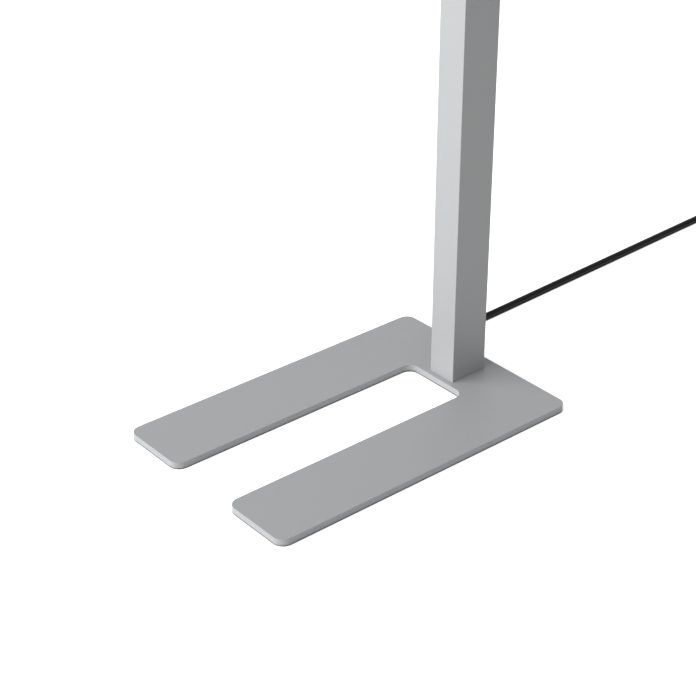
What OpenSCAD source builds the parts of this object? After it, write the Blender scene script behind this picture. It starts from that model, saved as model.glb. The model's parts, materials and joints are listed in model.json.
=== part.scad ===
// Office floor lamp: a flat U-shaped base, a rectangular post and a slim swivelling head.
// Millimetres. Origin on the floor under the post's axis, +Z up, the head and the base's arms
// point to -Y, and the mains cord leaves the post low on its left side and runs to +Y.

/* [Base] */
// Overall height of the lamp
lamp_h = 1950; // [1600:10:2200]
// Width of the base plate
base_w = 300; // [260:5:360]
// Length of the base plate, from its rear edge to the ends of its arms
base_l = 455; // [400:5:560]
// Thickness of the base plate
base_t = 8; // [7:0.5:14]
// Width of the slot between the arms
slot_w = 100; // [70:5:120]
// Length of the closed rear end of the base, behind the slot
yoke_l = 84; // [80:1:110]
// Rounding of the base plate's corners, in plan
base_r = 14; // [8:1:18]
// Diameter of each foot pad
pad_d = 20; // [14:1:24]
// Thickness of each foot pad
pad_t = 2.5; // [1.6:0.1:4]
// Depth of the seat of each foot pad in the plate
pad_seat = 1; // [0.4:0.1:1.4]
// Distance from a corner's foot pad to the plate's edges
pad_inset = 20; // [16:1:26]
// Thread of the screws that hold the post's foot block
base_screw_d = 6; // [5:1:8]
// Engagement of those screws in the foot block
base_screw_grip = 14; // [10:1:18]

/* [Post] */
// Width of the post, across the lamp
post_w = 42; // [36:1:50]
// Depth of the post, front to rear
post_d = 55; // [52:1:70]
// Wall of the post's extrusion
post_wall = 2.5; // [1.6:0.1:3]
// Rounding of the post's vertical edges
post_r = 0.6; // [0.5:0.1:1.4]
// Length of plate behind the post
rear_ledge = 21; // [16:1:30]
// Height of the block inside the foot of the post
foot_block_h = 24; // [18:1:26]
// Thread of the screws that hold the post to its foot block and its top block
side_screw_d = 4; // [3:1:5]
// Length of the gear tray inside the post
tray_l = 340; // [320:5:420]
// Thickness of the gear tray
tray_t = 1.5; // [1:0.1:2]
// Length of the driver
driver_l = 240; // [180:5:250]
// Depth of the driver, front to rear
driver_d = 26; // [20:1:30]
// Length of the terminal block
terminal_l = 34; // [24:1:40]

/* [Swivel] */
// Outer diameter of the hollow spigot that carries the head
spigot_d = 30; // [26:1:31]
// Bore of the spigot, for the cable
spigot_bore = 20; // [14:1:21]
// Running clearance round the spigot, on the radius
run_clear = 0.05; // [0.03:0.01:0.08]
// Thickness of the washer that the head turns on
washer_t = 1.5; // [1:0.1:2.5]
// Thickness of the top block's cap, on the end of the post
cap_t = 4; // [3:0.5:6]
// Height of the part of the top block inside the post
top_block_h = 26; // [22:1:36]
// Thickness of the ring nut
nut_t = 8; // [6:0.5:10]
// Turn of the head from rest to each stop, in degrees
turn_limit = 90; // [45:5:120]

/* [Head] */
// Width of the head
head_w = 300; // [260:5:360]
// Length of the head
head_l = 620; // [560:5:700]
// Thickness of the head
head_t = 24; // [23:0.5:30]
// Rounding of the head's corners, in plan
head_r = 14; // [8:1:15]
// Wall of the head's housing
head_wall = 3; // [2:0.1:3.4]
// Thickness of the housing's floor
floor_t = 3; // [2:0.1:3.4]
// Thickness of the top cover
cover_t = 2; // [1.5:0.1:2.5]
// Length of the head behind the post's axis
head_rear = 48; // [40:1:60]
// Width of the housing on each side of the downlight window
rim_side = 20; // [19:1:34]
// Length of the housing in front of the window, with the sensor in it
rim_front = 42; // [40:1:60]
// Length of the closed deck behind the window, over the post
rear_deck = 118; // [112:1:150]
// Thickness of the prism panel in the window
prism_t = 3; // [2:0.1:3.5]
// Thickness of the opal sheet over the prism panel
opal_t = 1.5; // [1:0.1:2]
// Thickness of the sheet that carries the light strips
chassis_t = 2; // [1.5:0.1:2.5]
// Width of each light strip
strip_w = 20; // [14:1:24]
// Thickness of each light strip's board
strip_t = 1.6; // [1:0.1:1.8]
// Number of lamps on each light strip
strip_leds = 12; // [6:1:16]
// Width of each uplight window
uplight_w = 30; // [24:1:40]
// Diameter of the presence sensor's lens
sensor_d = 20; // [16:1:21]

/* [Controls] */
// Height of the middle button above the floor
control_z = 1150; // [1050:10:1250]
// Diameter of each button
button_d = 13; // [10:0.5:14]
// Distance from one button to the next
button_pitch = 30; // [26:1:32]
// Travel of each button
button_travel = 0.8; // [0.5:0.1:1.2]
// Width of the control panel
bezel_w = 26; // [24:1:28]
// Length of the control panel
bezel_l = 104; // [98:1:130]
// Thickness of the control panel that stands proud of the post
bezel_t = 1.6; // [1:0.1:2.5]

/* [Cord and plug] */
// Diameter of the mains cord
cord_d = 8.8; // [7:0.1:9]
// Diameter of each pin of the plug
pin_d = 4.8; // [4:0.1:5]
// Length of each pin of the plug
pin_l = 19; // [17:0.5:20]
// Length of the plug's body
plug_l = 42; // [36:1:48]

/* [Hidden] */
$fn = 48;

fit = 0.1;        // gap on each side of a piece that sits inside another
seat_gap = 0.3;   // gap between pieces that lie side by side
past = 1;         // how far a cut runs past the faces it opens

// Heights of the stand
plate_z = pad_t - pad_seat;
plate_top = plate_z + base_t;
head_z = lamp_h - head_t;
post_top = head_z - washer_t;
tube_top = post_top - cap_t;
tube_l = tube_top - plate_top;

// Plan of the stand
plate_rear = post_d / 2 + rear_ledge;
arm_end = plate_rear - base_l;
slot_end = plate_rear - yoke_l;
arm_w = (base_w - slot_w) / 2;
bay_w = post_w - 2 * post_wall;
bay_d = post_d - 2 * post_wall;
bay_r = 0.5;
pad_places = [
  [0, 0],
  for (side = [-1, 1]) [side * (base_w / 2 - pad_inset), plate_rear - pad_inset],
  for (side = [-1, 1]) [side * (base_w - arm_w) / 2, arm_end + pad_inset]
];
base_screw_head = 2 * base_screw_d;
base_screw_edge_x = 6.5;
base_screw_edge_y = 7.5;
base_screw_x = bay_w / 2 - base_screw_edge_x;
base_screw_y = bay_d / 2 - base_screw_edge_y;
side_screw_x = 9;
side_screw_l = 12;
side_screw_head = 2 * side_screw_d;
foot_screw_spread = 6;
foot_screw_z = [for (end = [-1, 1]) plate_top + foot_block_h / 2 + end * foot_screw_spread];
top_screw_drop = 8;
top_screw_l = 8;
top_screw_z = tube_top - top_screw_drop;
earth_d = 4;
earth_grip = 8;
earth_head_d = 7;
earth_head_h = 2.6;
earth_x = bay_w / 4 - 2;
earth_y = -2;
tag_t = 0.8;
tag_d = 9;

// Free cord: route from the outlet, over the plate's rear edge and along the floor to the coil
route = [
  [-41.5, 17, 46], [-46.1, 17, 46], [-55, 18.8, 45.1], [-63.3, 22.4, 43.5], [-70.6, 27.5, 41.1],
  [-76.4, 34, 38.1], [-80.5, 41.4, 34.6], [-82.7, 49.5, 30.9], [-83, 61.7, 25.2],
  [-83.2, 71.4, 20.6], [-83.5, 83.8, 14.8], [-83.7, 94.7, 9.8], [-84, 106.6, 6.2],
  [-84.3, 118.8, 4.4], [-84.6, 133, 4.4], [-84.7, 146, 4.4], [-85.4, 167, 4.4], [-86.2, 190, 4.4],
  [-87, 213, 4.4], [-87.8, 236, 4.4], [-88.6, 259, 4.4], [-89.4, 282, 4.4], [-90.2, 305, 4.4],
  [-91, 328, 4.4], [-91.8, 351, 4.4], [-92.6, 374, 4.4], [-93.4, 397, 4.4], [-94.2, 420, 4.4],
  [-95, 443, 4.4], [-95.8, 466, 4.4], [-96.6, 489, 4.4], [-97.4, 512, 4.4], [-98.2, 535, 4.4],
  [-99, 558, 4.4], [-99.7, 581, 4.4], [-100.5, 604, 4.4], [-101.2, 626, 4.7], [-101.9, 648, 5.4],
  [-102.4, 668, 5.9]
];
// From the boot's tip to the terminal block
inner_route = [
  [-41.5, 17, 46], [-30, 17, 46], [-16, 17, 46], [-11, 17, 46.6], [-5, 17, 50], [-1, 17, 56],
  [0, 17, 64]
];

// Outlet of the cord, on the left side of the post, at the start of its route
outlet_x = route[0][0];
outlet_y = route[0][1];
outlet_z = route[0][2];
gland_d = 12;
gland_flange_d = 16;
gland_flange_t = 2;
nut_w = 4;
boot_root_d = 13;
boot_lip = 0.8;
boot_tip_d = cord_d + 2 * boot_lip;
boot_l = -post_w / 2 - gland_flange_t - outlet_x;

// Gear inside the post, on a tray against its rear wall
tray_side_gap = 2.5;
tray_w = bay_w - 2 * tray_side_gap;
tray_lift = 24.5;
tray_z = plate_top + foot_block_h + tray_lift;
tray_front = bay_d / 2 - fit - tray_t;
tray_screw_d = 4;
tray_screw_head = 2 * tray_screw_d;
tray_screw_grip = 4;
tray_boss_d = 9;
tray_boss_h = 2.5;
tray_screw_low = 52;
tray_screw_top = 10;
tray_screw_z = [tray_z + tray_screw_low, tray_z + tray_l - tray_screw_top];
terminal_lift = 10;
terminal_z = tray_z + terminal_lift;
terminal_w = 22;
terminal_d = 15;
terminal_screw_d = 4;
terminal_screw_depth = 5;
driver_lead_l = 26;
driver_z = terminal_z + terminal_l + driver_lead_l;
driver_side_gap = 1;
driver_w = tray_w - 2 * driver_side_gap;
driver_end_l = 12;
driver_end_step = 1.5;
wire_d = 3;
cable_d = 6;
head_lead_d = 5;
riser_y = 6;
riser_lead_in = 40;
riser_lead_out = 30;

// Controls in the front wall of the post
window_clear = 0.2;
bezel_r = 4;
lap_x = 2.2;
lap_z = 4.2;
skirt_w = bezel_w - 2 * lap_x;
skirt_l = bezel_l - 2 * lap_z;
skirt_r = 1.8;
skirt_wall = 1.4;
skirt_inner_r = 1;
clip_w = 6;
clip_h = 1.8;
clip_l = 1.5;
stop_ledge = 2;
stop_ledge_z = 15;
face_y = -post_d / 2;
plate_inset = 1.5;
plate_inner_y = face_y + plate_inset;
button_lip = 1.2;
button_flange_d = button_d + 2 * button_lip;
button_flange_t = 1.2;
button_gap = 0.3;
button_proud = 0.9;
stem_d = 4;
stem_l = 2.2;
board_t = 1.6;
switch_w = 6;
switch_h = 3.4;
plunger_d = 3.4;
plunger_h = 0.7;
plunger_y = plate_inner_y + fit + button_flange_t + stem_l + button_travel + fit;
board_y = plunger_y + plunger_h + switch_h;
skirt_back = board_y + board_t + past;
pipe_d = 2.4;
pipe_rise = 10.8;
pipe_z = control_z + button_pitch + pipe_rise;

// Swivel
spigot_r = spigot_d / 2;
nut_gap = 0.4;
nut_r = bay_w / 2 - nut_gap;
nut_slot_w = 3;
nut_slot_depth = 1;
flange_lip = 16;
flange_r = spigot_r + flange_lip;
flange_t = 4;
swivel_plate_t = 4;
swivel_plate_w = 110;
swivel_plate_l = 88;
swivel_plate_r = 6;
disc_t = 1.2;
spigot_low = post_top - cap_t - top_block_h - disc_t - nut_t;
stop_d = 4;
stop_z = post_top - cap_t - top_block_h / 2;
stop_depth = 2.2;
stop_spare = 1;
stop_arc = turn_limit + asin(stop_d / 2 / (spigot_r - stop_depth)) + stop_spare;
spigot_screw_d = 4;
spigot_screw_head = 2 * spigot_screw_d;
spigot_screw_step = 11.5;
spigot_screw_r = spigot_r + spigot_screw_step;

// Head
head_front = head_rear - head_l;
in_w = head_w - 2 * head_wall;
window_w = head_w - 2 * rim_side;
window_l = head_l - rim_front - rear_deck;
window_front = head_front + rim_front;
window_rear = head_rear - rear_deck;
window_mid = (window_front + window_rear) / 2;
ledge = 3;
panel_w = window_w + 2 * ledge;
panel_l = window_l + 2 * ledge;
panel_z = head_z + floor_t;
opal_z = panel_z + prism_t;
mixer_z = opal_z + opal_t;
up_gap = 2.4;
chassis_z = lamp_h - cover_t - up_gap - strip_t - chassis_t;
led_w = 3;
led_h = 0.8;
cover_z = lamp_h - cover_t;
boss_d = 8;
boss_gap = 1;
boss_x = panel_w / 2 + boss_gap + boss_d / 2;
boss_end_gap = 9;
cover_boss_y = [head_rear - boss_end_gap, window_mid, head_front + boss_end_gap];
chassis_boss_inset = 95;
chassis_boss_y = [window_rear - chassis_boss_inset, window_front + chassis_boss_inset];
small_screw_d = 3;
small_screw_grip = 6;
small_screw_head = 2 * small_screw_d - 0.4;
window_r = 4;
uplight_r = 3;
mixer_wall = 1.5;
ear_l = 12;
boss_drill = 7;
strip_inset = 6;
strip_l = window_l - 2 * strip_inset;
down_strip_x = [for (k = [-1.5, -0.5, 0.5, 1.5]) k * window_w / 4];
up_strip_share = 0.27;
up_strip_x = [for (side = [-1, 1]) side * window_w * up_strip_share];
uplight_inset = 20;
uplight_l = window_l - 2 * uplight_inset;
sensor_end_gap = 20;
sensor_y = head_front + sensor_end_gap;
sensor_box = 26;
sensor_h = 11;
sensor_well = 6;
sensor_ledge = 1.5;
sensor_rim_w = 3;
sensor_rim_t = 1;
lens_ball = 1.3;
lens_rise = 0.8;
controller_w = 60;
controller_l = 56;
controller_h = 9;
controller_gap = 14;
controller_x = swivel_plate_w / 2 + controller_gap + controller_w / 2;
controller_y = 10;
socket_edge = 1;
socket_w = 8;
socket_l = 16;
socket_offset = -12;
chips = [[[-12, 10], [22, 18], 0], [[14, -8], [14, 24], 2]];

// Coil of the cord's unseen length, with its tie, and the plug beside it
coil_x = -42.4;
coil_y = 668;
coil_z = 1.5;
coil_cols = 3;
coil_layers = 2;
coil_mid_r = 51;
turn_gap = 0.2;
turn_pitch = cord_d + turn_gap;
coil_w = (coil_cols - 1) * turn_pitch + cord_d;
coil_h = (coil_layers - 1) * turn_pitch + cord_d;
climb_from = 170;
climb_arc = 125;
climb_step = 10;
tie_t = 1.2;
tie_angle = 16;
tie_gap = 0.2;
outer_turn = [coil_x + turn_r(coil_cols - 1), coil_y];
// Distance along the way from the coil to the plug, and height there
tail_drop = [
  [8, 23.9], [18, 23.4], [28, 21.6], [38, 18.4], [47, 15.2], [55, 13.3], [61, 13], [65, 13]
];
// The last turn, which climbs onto the others, and the way from it to the plug
tail = concat(
  [for (a = [climb_from : -climb_step : 0]) top_turn(a)],
  [for (p = tail_drop) [outer_turn[0], coil_y - p[0], p[1]]]
);
plug_tail = tail[len(tail) - 1];
plug_sleeve_l = 22;
plug_w = 38;
plug_h = 26;
plug_neck_l = 17;
pin_pitch = 19;

// Radius of a turn in a column of the coil, counted from the inside, and height of a layer
function turn_r(col) = coil_mid_r + (col - (coil_cols - 1) / 2) * turn_pitch;
function layer_z(layer) = coil_z + cord_d / 2 + layer * turn_pitch;

function ease(share) = share * share * (3 - 2 * share);

// A point of the last turn, which goes up by one layer from climb_from over climb_arc degrees
function top_turn(a) = [
  coil_x + turn_r(coil_cols - 1) * cos(a),
  coil_y + turn_r(coil_cols - 1) * sin(a),
  layer_z(coil_layers - 1 + ease(min(1, (climb_from - a) / climb_arc)))
];

// Points of a round corner, from one direction to another
function corner(c, r, from, to) =
  [for (k = [0 : 6]) let (a = from + (to - from) * k / 6) c + r * [cos(a), sin(a)]];

function unit(v) = v / norm(v);

function heading(p, i) = unit(p[min(i + 1, len(p) - 1)] - p[max(i - 1, 0)]);

// One ring of a swept tube, square to its heading; ref is a direction that the route never takes
function ring(c, t, r, sides, ref) =
  let (s = unit(cross(t, ref)), n = cross(s, t))
  [for (k = [0 : sides - 1]) let (a = 360 * (k + 0.5) / sides) c + r * (cos(a) * s + sin(a) * n)];

module swept_tube(p, r, sides = 12, ref = [0, 0, 1]) {
  points = [for (i = [0 : len(p) - 1]) each ring(p[i], heading(p, i), r, sides, ref)];
  last = (len(p) - 1) * sides;
  walls = [
    for (i = [0 : len(p) - 2], k = [0 : sides - 1])
      let (a = i * sides + k, b = i * sides + (k + 1) % sides)
      each [[a, b, b + sides], [a, b + sides, a + sides]]
  ];
  start = [[for (k = [sides - 1 : -1 : 0]) k]];
  finish = [[for (k = [0 : sides - 1]) last + k]];
  polyhedron(points, concat(start, finish, walls));
}

// Rectangle with round corners, centred
module round_rect(w, l, r) {
  square([w - 2 * r, l], center = true);
  square([w, l - 2 * r], center = true);
  for (x = [-1, 1], y = [-1, 1])
    translate([x * (w / 2 - r), y * (l / 2 - r)]) circle(r);
}

module round_block(w, l, h, r) {
  linear_extrude(h) round_rect(w, l, r);
}

// Block centred in plan, standing on z = 0
module block(w, l, h) {
  translate([-w / 2, -l / 2, 0]) cube([w, l, h]);
}

// Countersunk screw: its flat head at z = 0, its shank along +Z
module csk_screw(d, head_d, l) {
  difference() {
    rotate_extrude()
      polygon([[0, 0], [head_d / 2, 0], [d / 2, (head_d - d) / 2], [d / 2, l], [0, l]]);
    translate([0, 0, -past]) cylinder(d = d * 0.6, h = past + (head_d - d) / 2, $fn = 6);
  }
}

// The space that such a screw needs, with its clearance
module csk_space(d, head_d, l) {
  r = d / 2 + fit / 2;
  head_r = head_d / 2 + fit / 2;
  rotate_extrude()
    polygon([
      [0, -past], [head_r, -past], [head_r, 0.05], [r, 0.05 + head_r - r], [r, l + fit], [0, l + fit]
    ]);
}

module at_base_screws() {
  for (x = [-1, 1], y = [-1, 1])
    translate([x * base_screw_x, y * base_screw_y, plate_z]) children();
}

// A place on the rear face of the post, with +Z of the child pointing into it
module at_rear(x, z) {
  translate([x, post_d / 2, z]) rotate([90, 0, 0]) children();
}

module at_foot_side_screws() {
  for (z = foot_screw_z) at_rear(0, z) children();
}

module at_top_side_screws() {
  for (side = [-1, 1]) at_rear(side * side_screw_x, top_screw_z) children();
}

module at_tray_screws() {
  for (z = tray_screw_z) at_rear(0, z) children();
}

module base_outline() {
  difference() {
    translate([0, plate_rear - base_l / 2]) round_rect(base_w, base_l, base_r);
    translate([0, (slot_end + arm_end - 2 * base_r) / 2])
      round_rect(slot_w, slot_end - arm_end + 2 * base_r, base_r);
    for (side = [-1, 1]) translate([side * slot_w / 2, arm_end]) handed(side)
      difference() {
        translate([-past, -past]) square(past + base_r);
        translate([base_r, base_r]) circle(base_r);
      }
  }
}

// A shape drawn for the right side, mirrored where side is -1
module handed(side) {
  if (side < 0) mirror([1, 0]) children();
  else children();
}

module base_plate() {
  color("#a4a4a5") difference() {
    translate([0, 0, plate_z]) linear_extrude(base_t) base_outline();
    for (p = pad_places)
      translate([p[0], p[1], plate_z - past]) cylinder(d = pad_d + 2 * fit, h = past + pad_seat);
    at_base_screws() csk_space(base_screw_d, base_screw_head, base_t + past);
  }
}

module foot_pads() {
  color("#2b2b2c") for (p = pad_places)
    translate([p[0], p[1], 0]) cylinder(d = pad_d, h = pad_t);
}

module base_screws() {
  color("silver") at_base_screws() csk_screw(base_screw_d, base_screw_head, base_t + base_screw_grip);
}

module post_foot_block() {
  color("#b8babd") difference() {
    translate([0, 0, plate_top]) round_block(bay_w - 2 * fit, bay_d - 2 * fit, foot_block_h, bay_r);
    at_base_screws() csk_space(base_screw_d, base_screw_head, base_t + base_screw_grip);
    at_foot_side_screws() csk_space(side_screw_d, side_screw_head, side_screw_l);
    translate([earth_x, earth_y, plate_top + foot_block_h - earth_grip - fit])
      cylinder(d = earth_d + fit, h = earth_grip + fit + past);
  }
}

module foot_side_screws() {
  color("silver") at_foot_side_screws() csk_screw(side_screw_d, side_screw_head, side_screw_l);
}

module earth_screw() {
  color("gold") translate([earth_x, earth_y, plate_top + foot_block_h]) {
    translate([0, 0, -earth_grip]) cylinder(d = earth_d, h = earth_grip + tag_t);
    translate([0, 0, tag_t]) cylinder(d = earth_head_d, h = earth_head_h);
  }
}

// Ring tag under the earth screw's head, with its lead up to the terminal block
module earth_lead() {
  lead_y = tray_front - terminal_d / 2;
  color("#9aa53a") {
    difference() {
      translate([earth_x, earth_y, plate_top + foot_block_h]) linear_extrude(tag_t) {
        circle(d = tag_d);
        translate([-wire_d / 2, 0]) square([wire_d, lead_y - earth_y]);
      }
      translate([earth_x, earth_y, plate_top]) cylinder(d = earth_d + fit, h = foot_block_h + past);
    }
    translate([earth_x, lead_y, plate_top + foot_block_h])
      cylinder(d = wire_d, h = terminal_z - plate_top - foot_block_h);
  }
}

module control_window() {
  translate([0, 0, control_z]) rotate([90, 0, 0])
    linear_extrude(post_d) round_rect(skirt_w + 2 * window_clear, skirt_l + 2 * window_clear, 2);
}

module post_tube() {
  color("#c9cacc") difference() {
    translate([0, 0, plate_top]) linear_extrude(tube_l) difference() {
      round_rect(post_w, post_d, post_r);
      round_rect(bay_w, bay_d, bay_r);
    }
    control_window();
    translate([-post_w / 2 - past, outlet_y, outlet_z]) rotate([0, 90, 0])
      cylinder(d = gland_d + 2 * fit, h = post_wall + 2 * past);
    at_foot_side_screws() csk_space(side_screw_d, side_screw_head, side_screw_l);
    at_top_side_screws() csk_space(side_screw_d, side_screw_head, side_screw_l);
    at_tray_screws() csk_space(tray_screw_d, tray_screw_head, post_wall + past);
  }
}

// Along +X from the tip of the boot, on the outlet's axis
module at_outlet(x) {
  translate([x, outlet_y, outlet_z]) rotate([0, 90, 0]) children();
}

module cord_gland() {
  inside = post_wall + nut_w + 0.5;
  color("#202021") difference() {
    union() {
      at_outlet(-post_w / 2 - gland_flange_t) cylinder(d = gland_flange_d, h = gland_flange_t);
      at_outlet(-post_w / 2) cylinder(d = gland_d, h = inside);
    }
    at_outlet(-post_w / 2 - gland_flange_t - past)
      cylinder(d = cord_d + 2 * seat_gap, h = gland_flange_t + inside + 2 * past);
  }
}

module gland_nut() {
  color("#2c2c2d") at_outlet(-post_w / 2 + post_wall) difference() {
    cylinder(d = gland_flange_d, h = nut_w, $fn = 6);
    translate([0, 0, -past]) cylinder(d = gland_d + 2 * fit, h = nut_w + 2 * past);
  }
}

module cord_boot() {
  color("#1b1b1c") at_outlet(outlet_x) difference() {
    cylinder(d1 = boot_tip_d, d2 = boot_root_d, h = boot_l);
    translate([0, 0, -past]) cylinder(d = cord_d + 2 * fit, h = boot_l + 2 * past);
  }
}

module inner_mains_lead() {
  color("#151515") swept_tube(
    concat(inner_route, [for (z = [terminal_z - cord_d, terminal_z]) [0, outlet_y, z]]),
    cord_d / 2, ref = [0, 1, 0]
  );
}

module terminal_block() {
  cell = terminal_w / 3;
  color("#e6e3da") translate([0, tray_front - terminal_d / 2, terminal_z]) difference() {
    block(terminal_w, terminal_d, terminal_l);
    for (k = [-1, 0, 1], z = [terminal_l / 4, terminal_l * 3 / 4])
      translate([k * cell, -terminal_d / 2 - past, z]) rotate([-90, 0, 0]) 
          cylinder(d = terminal_screw_d, h = terminal_screw_depth + past);
  }
}

module gear_tray() {
  color("#b0b2b5") difference() {
    union() {
      translate([-tray_w / 2, tray_front, tray_z]) cube([tray_w, tray_t, tray_l]);
      for (z = tray_screw_z)
        translate([0, tray_front, z]) rotate([90, 0, 0]) cylinder(d = tray_boss_d, h = tray_boss_h);
    }
    at_tray_screws() csk_space(tray_screw_d, tray_screw_head, post_wall + 2 * tray_screw_grip);
  }
}

module tray_screws() {
  color("silver") at_tray_screws() csk_screw(tray_screw_d, tray_screw_head, post_wall + tray_screw_grip);
}

module driver() {
  color("#dcdcda") translate([0, tray_front - driver_d / 2, driver_z]) {
    translate([0, 0, driver_end_l]) block(driver_w, driver_d, driver_l - 2 * driver_end_l);
    for (z = [0, driver_l - driver_end_l])
      translate([0, 0, z])
        block(driver_w - 2 * driver_end_step, driver_d - 2 * driver_end_step, driver_end_l);
  }
}

module driver_input_lead() {
  color("#303030") translate([-terminal_w / 4, tray_front - terminal_d / 2, terminal_z + terminal_l])
    cylinder(d = cable_d, h = driver_lead_l);
}

// From the driver up the post to the middle of the spigot, on the head's axis
module low_voltage_riser() {
  start_z = driver_z + driver_l;
  bend_z = spigot_low - 2 * riser_lead_out;
  driver_y = tray_front - driver_d / 2;
  color("#303030") swept_tube(
    [
      [0, driver_y, start_z],
      [0, driver_y, start_z + cable_d],
      [0, (driver_y + riser_y) / 2, start_z + riser_lead_in],
      [0, riser_y, start_z + 2 * riser_lead_in],
      [0, riser_y, bend_z],
      [0, riser_y / 2, bend_z + riser_lead_out],
      [0, 0, bend_z + 2 * riser_lead_out],
      [0, 0, head_z]
    ],
    cable_d / 2, ref = [1, 0, 0], sides = 8
  );
}

// Along +Y into the post, from a point on the front face at height z
module at_front(y, z) {
  translate([0, y, z]) rotate([-90, 0, 0]) children();
}

button_z = [for (k = [1, 0, -1]) control_z + k * button_pitch];

module control_bezel() {
  clip_y = face_y + post_wall + fit;
  panel_cut = bezel_t + plate_inset + 2 * past;
  color("#1e1e20") difference() {
    union() {
      translate([0, face_y, control_z]) rotate([90, 0, 0]) 
        round_block(bezel_w, bezel_l, bezel_t, bezel_r);
      translate([0, skirt_back, control_z]) rotate([90, 0, 0])
        round_block(skirt_w, skirt_l, skirt_back - face_y, skirt_r);
      for (end = [-1, 1])
        translate([-clip_w / 2, clip_y, control_z + end * (skirt_l / 2 + clip_h / 4) - clip_h / 2])
          cube([clip_w, clip_l, clip_h]);
    }
    translate([0, skirt_back + past, control_z]) rotate([90, 0, 0])
      round_block(
        skirt_w - 2 * skirt_wall, skirt_l - 2 * skirt_wall,
        skirt_back + past - plate_inner_y, skirt_inner_r
      );
    for (z = button_z)
      at_front(face_y - bezel_t - past, z) cylinder(d = button_d + 2 * button_gap, h = panel_cut);
    at_front(face_y - bezel_t - past, pipe_z) cylinder(d = pipe_d + 2 * fit, h = panel_cut);
  }
  // Ledges that the button board rests on
  color("#1e1e20") for (side = [-1, 1], end = [-1, 1])
    translate([
      side * (skirt_w / 2 - skirt_wall - stop_ledge / 2 + fit / 2) - stop_ledge / 2,
      board_y - stop_ledge, control_z + end * stop_ledge_z - stop_ledge
    ]) cube([stop_ledge, stop_ledge, 2 * stop_ledge]);
}

module push_button(z) {
  color("#37383a") {
    at_front(face_y - bezel_t - button_proud, z)
      cylinder(d = button_d, h = button_proud + bezel_t + plate_inner_y - face_y + fit);
    at_front(plate_inner_y + fit, z) cylinder(d = button_flange_d, h = button_flange_t);
    at_front(plate_inner_y + fit + button_flange_t, z) cylinder(d = stem_d, h = stem_l);
  }
}

module power_button() {
  push_button(button_z[1]);
}

module brighter_button() {
  push_button(button_z[0]);
}

module dimmer_button() {
  push_button(button_z[2]);
}

module button_board() {
  board_w = skirt_w - 2 * skirt_wall - 2 * fit;
  board_l = skirt_l - 2 * skirt_wall - 2 * fit;
  color("#2f6b3a") translate([0, board_y, control_z])
    rotate([-90, 0, 0]) round_block(board_w, board_l, board_t, skirt_inner_r);
}

module tact_switches() {
  color("#555555") for (z = button_z) {
    at_front(board_y - switch_h, z) block(switch_w, switch_w, switch_h);
    at_front(plunger_y, z) cylinder(d = plunger_d, h = plunger_h);
  }
}

module status_light_pipe() {
  color("#e8f0e8") at_front(face_y - bezel_t - 0.1, pipe_z)
    cylinder(d = pipe_d, h = board_y - face_y + bezel_t + 0.1);
}

module post_top_block() {
  color("#c9cacc") difference() {
    union() {
      translate([0, 0, tube_top]) round_block(post_w, post_d, cap_t, post_r);
      translate([0, 0, tube_top - top_block_h])
        round_block(bay_w - 2 * fit, bay_d - 2 * fit, top_block_h, bay_r);
    }
    translate([0, 0, tube_top - top_block_h - past])
      cylinder(r = spigot_r + run_clear, h = top_block_h + cap_t + 2 * past);
    at_top_side_screws() csk_space(side_screw_d, side_screw_head, side_screw_l);
    translate([0, 0, stop_z]) rotate([-90, 0, 0]) cylinder(d = stop_d + fit, h = bay_d);
  }
}

module top_side_screws() {
  color("silver") at_top_side_screws() csk_screw(side_screw_d, side_screw_head, top_screw_l);
}

module stop_pin() {
  tip = spigot_r - stop_depth + seat_gap;
  color("silver") translate([0, tip, stop_z]) rotate([-90, 0, 0])
    cylinder(d = stop_d, h = bay_d / 2 - fit - tip);
}

// Ring with a round bore, standing on z = 0
module ring_plate(outer_r, inner_r, h) {
  difference() {
    cylinder(r = outer_r, h = h);
    translate([0, 0, -past]) cylinder(r = inner_r, h = h + 2 * past);
  }
}

module thrust_washer() {
  color("#e9e9e6") translate([0, 0, post_top])
    ring_plate(post_w / 2 - 1, spigot_r + 2 * fit, washer_t);
}

module swivel_spigot() {
  top = head_z + floor_t + swivel_plate_t;
  color("#a9adb2") difference() {
    union() {
      translate([0, 0, spigot_low]) cylinder(r = spigot_r, h = top + flange_t - spigot_low);
      translate([0, 0, top]) cylinder(r = flange_r, h = flange_t);
    }
    translate([0, 0, spigot_low - past])
      cylinder(d = spigot_bore, h = top + flange_t - spigot_low + 2 * past);
    translate([0, 0, stop_z - stop_d / 2 - fit]) rotate([0, 0, 90 - stop_arc])
      rotate_extrude(angle = 2 * stop_arc)
        translate([spigot_r - stop_depth, 0]) square([stop_depth + past, stop_d + 2 * fit]);
    at_spigot_screws(top + flange_t) csk_space(spigot_screw_d, spigot_screw_head, flange_t + past);
  }
}

// Screws round the spigot, heads up at height z
module at_spigot_screws(z) {
  for (a = [45 : 90 : 315])
    rotate([0, 0, a]) translate([spigot_screw_r, 0, z]) mirror([0, 0, 1]) children();
}

module friction_washer() {
  color("#8d9299") translate([0, 0, spigot_low + nut_t])
    ring_plate(nut_r, spigot_r + 2 * fit, disc_t);
}

module ring_nut() {
  color("#a0a4a9") translate([0, 0, spigot_low]) difference() {
    ring_plate(nut_r, spigot_r + fit, nut_t);
    for (a = [0, 90, 180, 270])
      rotate([0, 0, a]) translate([nut_r - nut_slot_depth, -nut_slot_w / 2, -past])
        cube([nut_slot_depth + past, nut_slot_w, nut_t / 2 + past]);
  }
}

module spigot_screws() {
  color("silver") at_spigot_screws(head_z + floor_t + swivel_plate_t + flange_t)
    csk_screw(spigot_screw_d, spigot_screw_head, flange_t + swivel_plate_t);
}

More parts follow.
